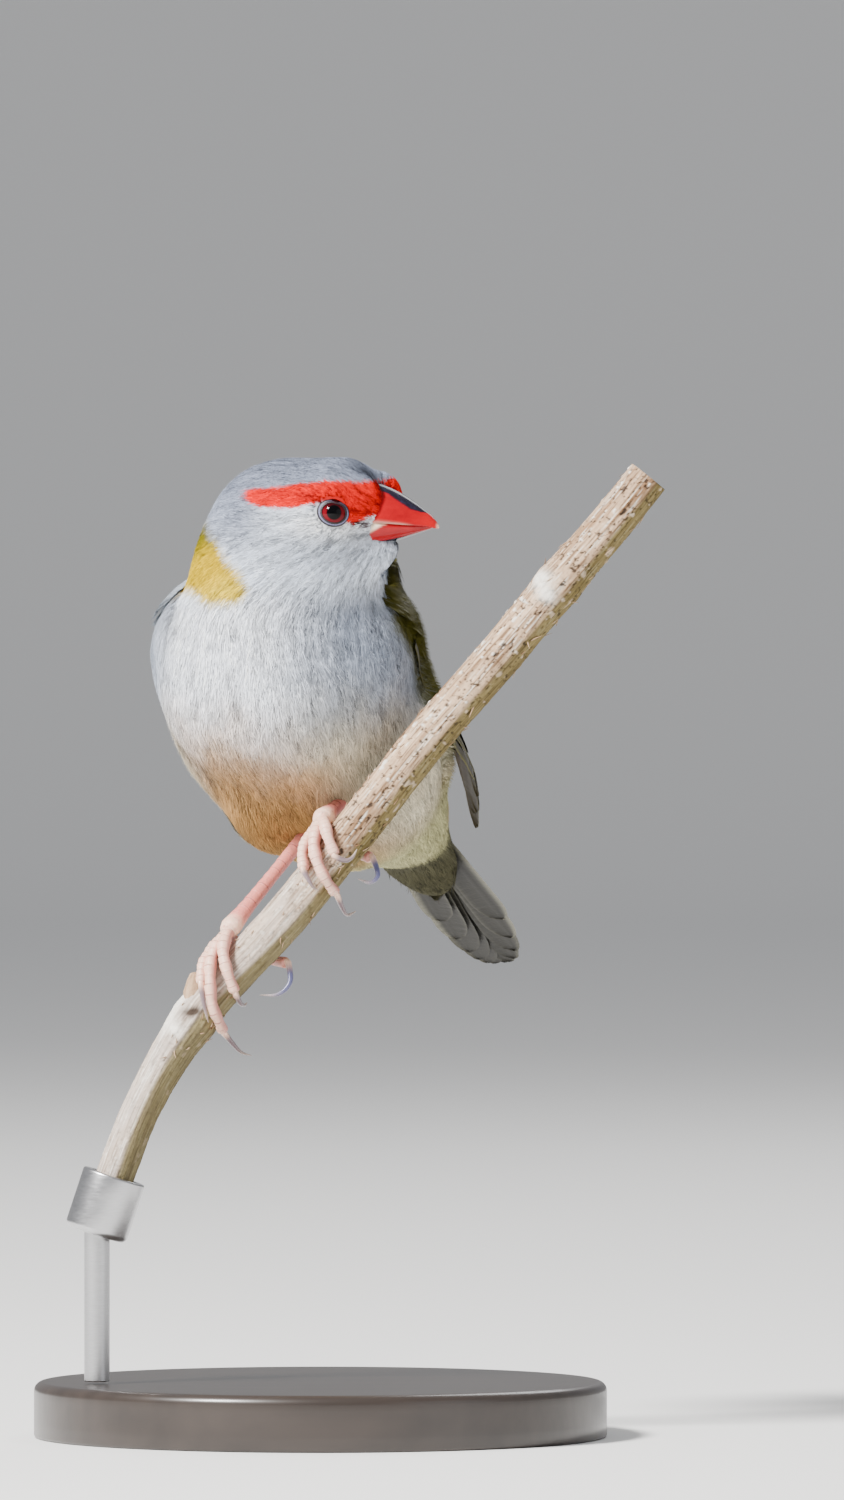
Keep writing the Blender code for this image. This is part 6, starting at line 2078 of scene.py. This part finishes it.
class FINCH_OT_add_stand(bpy.types.Operator):
    """Adds the round base and the rod with its cup"""

    bl_idname = "finch.add_stand"
    bl_label = "Add Stand"

    def execute(self, context):
        settings = context.scene.finch_stand
        lacquer, tree, shader, grain = streaked_material(
            "dark_lacquer", 0.34, (30.0, 420.0, 200.0), 6.0, settings.base_colour, (0.55, 1.7),
            {"Coat Weight": 0.3, "Coat Roughness": 0.18},
        )
        relief = add_node(tree, "ShaderNodeBump", {
            "Height": grain.outputs["Fac"], "Strength": 0.12, "Distance": 0.0002,
        })
        tree.links.new(relief.outputs["Normal"], shader.inputs["Normal"])
        profile = [(BASE_RADIUS - 0.4, 0.0), (BASE_RADIUS - 0.1, 0.1), (BASE_RADIUS, 0.4)]
        profile += [(BASE_RADIUS, height) for height in (2.0, 3.5, 5.0)]
        profile += rounded_corner(BASE_RADIUS - 1.2, BASE_HEIGHT - 1.2, 1.2, 0.0, 90.0, 10)
        profile += [(radius, BASE_HEIGHT) for radius in (32.0, 24.0, 14.0, 5.0)]
        points, faces = turned(np.zeros(3), UP, profile, 192)
        settle(make_piece("round_base", points, faces, lacquer), "base", "stand_base")

        steel, tree, shader, lines = streaked_material(
            "brushed_rod", 0.3, (900.0, 900.0, 6000.0), 3.0, settings.rod_colour, (0.8, 1.15),
            {"Metallic": 1.0},
        )
        rough = add_node(tree, "ShaderNodeMapRange", {
            "Value": lines.outputs["Fac"], "To Min": 0.24, "To Max": 0.40,
        })
        tree.links.new(rough.outputs["Result"], shader.inputs["Roughness"])
        end, way, _ = perch_middle(PERCH_START)
        inner = PERCH_RADII[0.0] + GAP + 0.05
        profile = [(0.6, -GAP - CUP_FLOOR)]
        profile += rounded_corner(CUP_RADIUS - 0.8, -GAP - CUP_FLOOR + 0.8, 0.8, -90.0, 0.0, 8)
        profile += [(CUP_RADIUS, 1.5), (CUP_RADIUS, 3.5)]
        profile += rounded_corner(CUP_RADIUS - 0.3, CUP_DEPTH - 0.3, 0.3, 0.0, 90.0, 6)
        profile += rounded_corner(inner + 0.2, CUP_DEPTH - 0.2, 0.2, 90.0, 180.0, 5)
        profile += [(inner, 3.0), (inner, -GAP), (inner - 1.0, -GAP)]
        cup_points, cup_faces = turned(end, way, profile, 96)
        foot = end - way * (GAP + 0.5 * CUP_FLOOR)
        start = np.array([foot[0], foot[1], BASE_HEIGHT + GAP])
        height = foot[2] - start[2]
        profile = [(ROD_RADIUS - 0.15, 0.0), (ROD_RADIUS, 0.15)]
        profile += [(ROD_RADIUS, 0.4 * height), (ROD_RADIUS, height)]
        post_points, post_faces = turned(start, UP, profile, 64)
        points, faces, _, _ = joined([
            (cup_points, cup_faces, np.ones_like(cup_points)),
            (post_points, post_faces, np.ones_like(post_points)),
        ])
        piece = make_piece("steel_rod", points, faces, steel)
        piece.data.set_sharp_from_angle(angle=math.radians(40.0))
        settle(piece, "rod", "stand_rod")
        return {"FINISHED"}


FLOOR_REACH = 4500.0
FLOOR_SWEEP = 1500.0
FRAME_HEIGHT = 1500.0
FRAME_WIDTH = 844.0
FLOOR_SIDES = 96
SENSOR = 0.036
AIM_HEIGHT = 0.09
SKY = (0.93, 0.95, 1.0, 1.0)
SKY_STRENGTH = 0.40
# Each lamp: where it stands, its size, its power against the key's and its colour.
LAMPS = {
    "key": ((-0.74, -0.62, 0.92), 0.34, 1.0, (1.0, 0.985, 0.96)),
    "fill": ((0.95, -0.70, 0.35), 0.9, 0.03, (0.93, 0.96, 1.0)),
    "back": ((0.45, 0.95, 0.95), 0.6, 0.10, (1.0, 1.0, 1.0)),
}


class FINCH_OT_add_stage(bpy.types.Operator):
    """Adds the plain floor, the soft light and the camera"""

    bl_idname = "finch.add_stage"
    bl_label = "Add Stage"

    def execute(self, context):
        settings = context.scene.finch_stage
        material, _, shader = new_material("plain_floor", 0.9, {})
        shader.inputs["Base Color"].default_value = (*settings.floor_colour, 1.0)
        line = [(radius, 0.0) for radius in (20.0, 100.0, 400.0, 1500.0, FLOOR_REACH)]
        for turn in np.linspace(0.0, 75.0, 16)[1:]:
            angle = math.radians(turn)
            line.append((
                FLOOR_REACH + FLOOR_SWEEP * math.sin(angle), FLOOR_SWEEP * (1.0 - math.cos(angle)),
            ))
        around = np.linspace(0.0, 2 * math.pi, FLOOR_SIDES, endpoint=False)
        points = [
            [radius * math.cos(angle), radius * math.sin(angle), height]
            for radius, height in line
            for angle in around
        ]
        points.append([0.0, 0.0, 0.0])
        middle = fan_faces(0, FLOOR_SIDES, len(points) - 1, False)
        faces = [grid_faces(len(line), FLOOR_SIDES, wrap=True), middle]
        floor = make_piece("floor", points, faces, material)

        middle = np.array([(FRAME_WIDTH / 2 - PIXEL_ORIGIN[0]) / PIXELS, PERCH_PLANE,
                           (PIXEL_ORIGIN[1] - FRAME_HEIGHT / 2) / PIXELS]) * METRES
        lens = bpy.data.cameras.new("view")
        lens.sensor_fit = "VERTICAL"
        lens.sensor_height = SENSOR * MILLIMETRES
        lens.lens = SENSOR * MILLIMETRES * settings.distance / (FRAME_HEIGHT / PIXELS * METRES)
        lens.clip_start = 0.05
        lens.clip_end = 20.0
        camera = bpy.data.objects.new("view", lens)
        camera.location = (middle[0], middle[1] - settings.distance, middle[2])
        camera.rotation_euler = (math.radians(90.0), 0.0, 0.0)
        context.scene.collection.objects.link(camera)
        context.scene.camera = camera

        for name, (place, size, share, colour) in LAMPS.items():
            lamp = bpy.data.lights.new(name, "AREA")
            lamp.shape = "DISK"
            lamp.size = size
            lamp.energy = settings.key_power * share
            lamp.color = colour
            holder = bpy.data.objects.new(name, lamp)
            holder.visible_camera = False
            holder.location = place
            aim = np.array(place) - np.array([0.0, 0.0, AIM_HEIGHT])
            holder.rotation_euler = (
                math.atan2(math.hypot(aim[0], aim[1]), aim[2]), 0.0, math.atan2(aim[0], -aim[1]),
            )
            context.scene.collection.objects.link(holder)
        world = bpy.data.worlds.new("soft")
        world.use_nodes = True
        sky = world.node_tree.nodes["Background"]
        sky.inputs["Color"].default_value = SKY
        sky.inputs["Strength"].default_value = SKY_STRENGTH
        context.scene.world = world
        return {"FINISHED"}


STEPS = (
    "add_body", "add_wings", "add_tail", "add_bill", "add_eyes", "add_legs", "add_perch", "add_stand",
    "add_stage",
)


class FINCH_PT_pieces(bpy.types.Panel):
    """Lists the pieces and their settings"""

    bl_idname = "FINCH_PT_pieces"
    bl_label = "Finch on a Stem"
    bl_space_type = "VIEW_3D"
    bl_region_type = "UI"
    bl_category = "Finch"

    def draw(self, context):
        column = self.layout.column(align=True)
        for step in STEPS:
            column.operator("finch." + step)
        for group in ("finch_coat", "finch_stand", "finch_stage"):
            settings = getattr(context.scene, group)
            box = self.layout.box()
            for name in settings.__annotations__:
                box.prop(settings, name)


CLASSES = (
    FinchCoatSettings, FinchStandSettings, FinchStageSettings, FINCH_OT_add_body, FINCH_OT_add_wings,
    FINCH_OT_add_tail, FINCH_OT_add_bill, FINCH_OT_add_eyes, FINCH_OT_add_legs, FINCH_OT_add_perch,
    FINCH_OT_add_stand, FINCH_OT_add_stage, FINCH_PT_pieces,
)


def register():
    """Makes the settings, operators and panel known to Blender."""
    for kind in CLASSES:
        bpy.utils.register_class(kind)
    bpy.types.Scene.finch_coat = PointerProperty(type=FinchCoatSettings)
    bpy.types.Scene.finch_stand = PointerProperty(type=FinchStandSettings)
    bpy.types.Scene.finch_stage = PointerProperty(type=FinchStageSettings)


def unregister():
    """Takes them out again."""
    del bpy.types.Scene.finch_stage
    del bpy.types.Scene.finch_stand
    del bpy.types.Scene.finch_coat
    for kind in reversed(CLASSES):
        bpy.utils.unregister_class(kind)


def corners(bounds):
    """A box as plain lists of numbers."""
    return [[float(value) for value in corner] for corner in bounds]


def main():
    """Builds every piece in order."""
    register()
    for step in STEPS:
        getattr(bpy.ops.finch, step)()


if __name__ == "__main__":
    main()
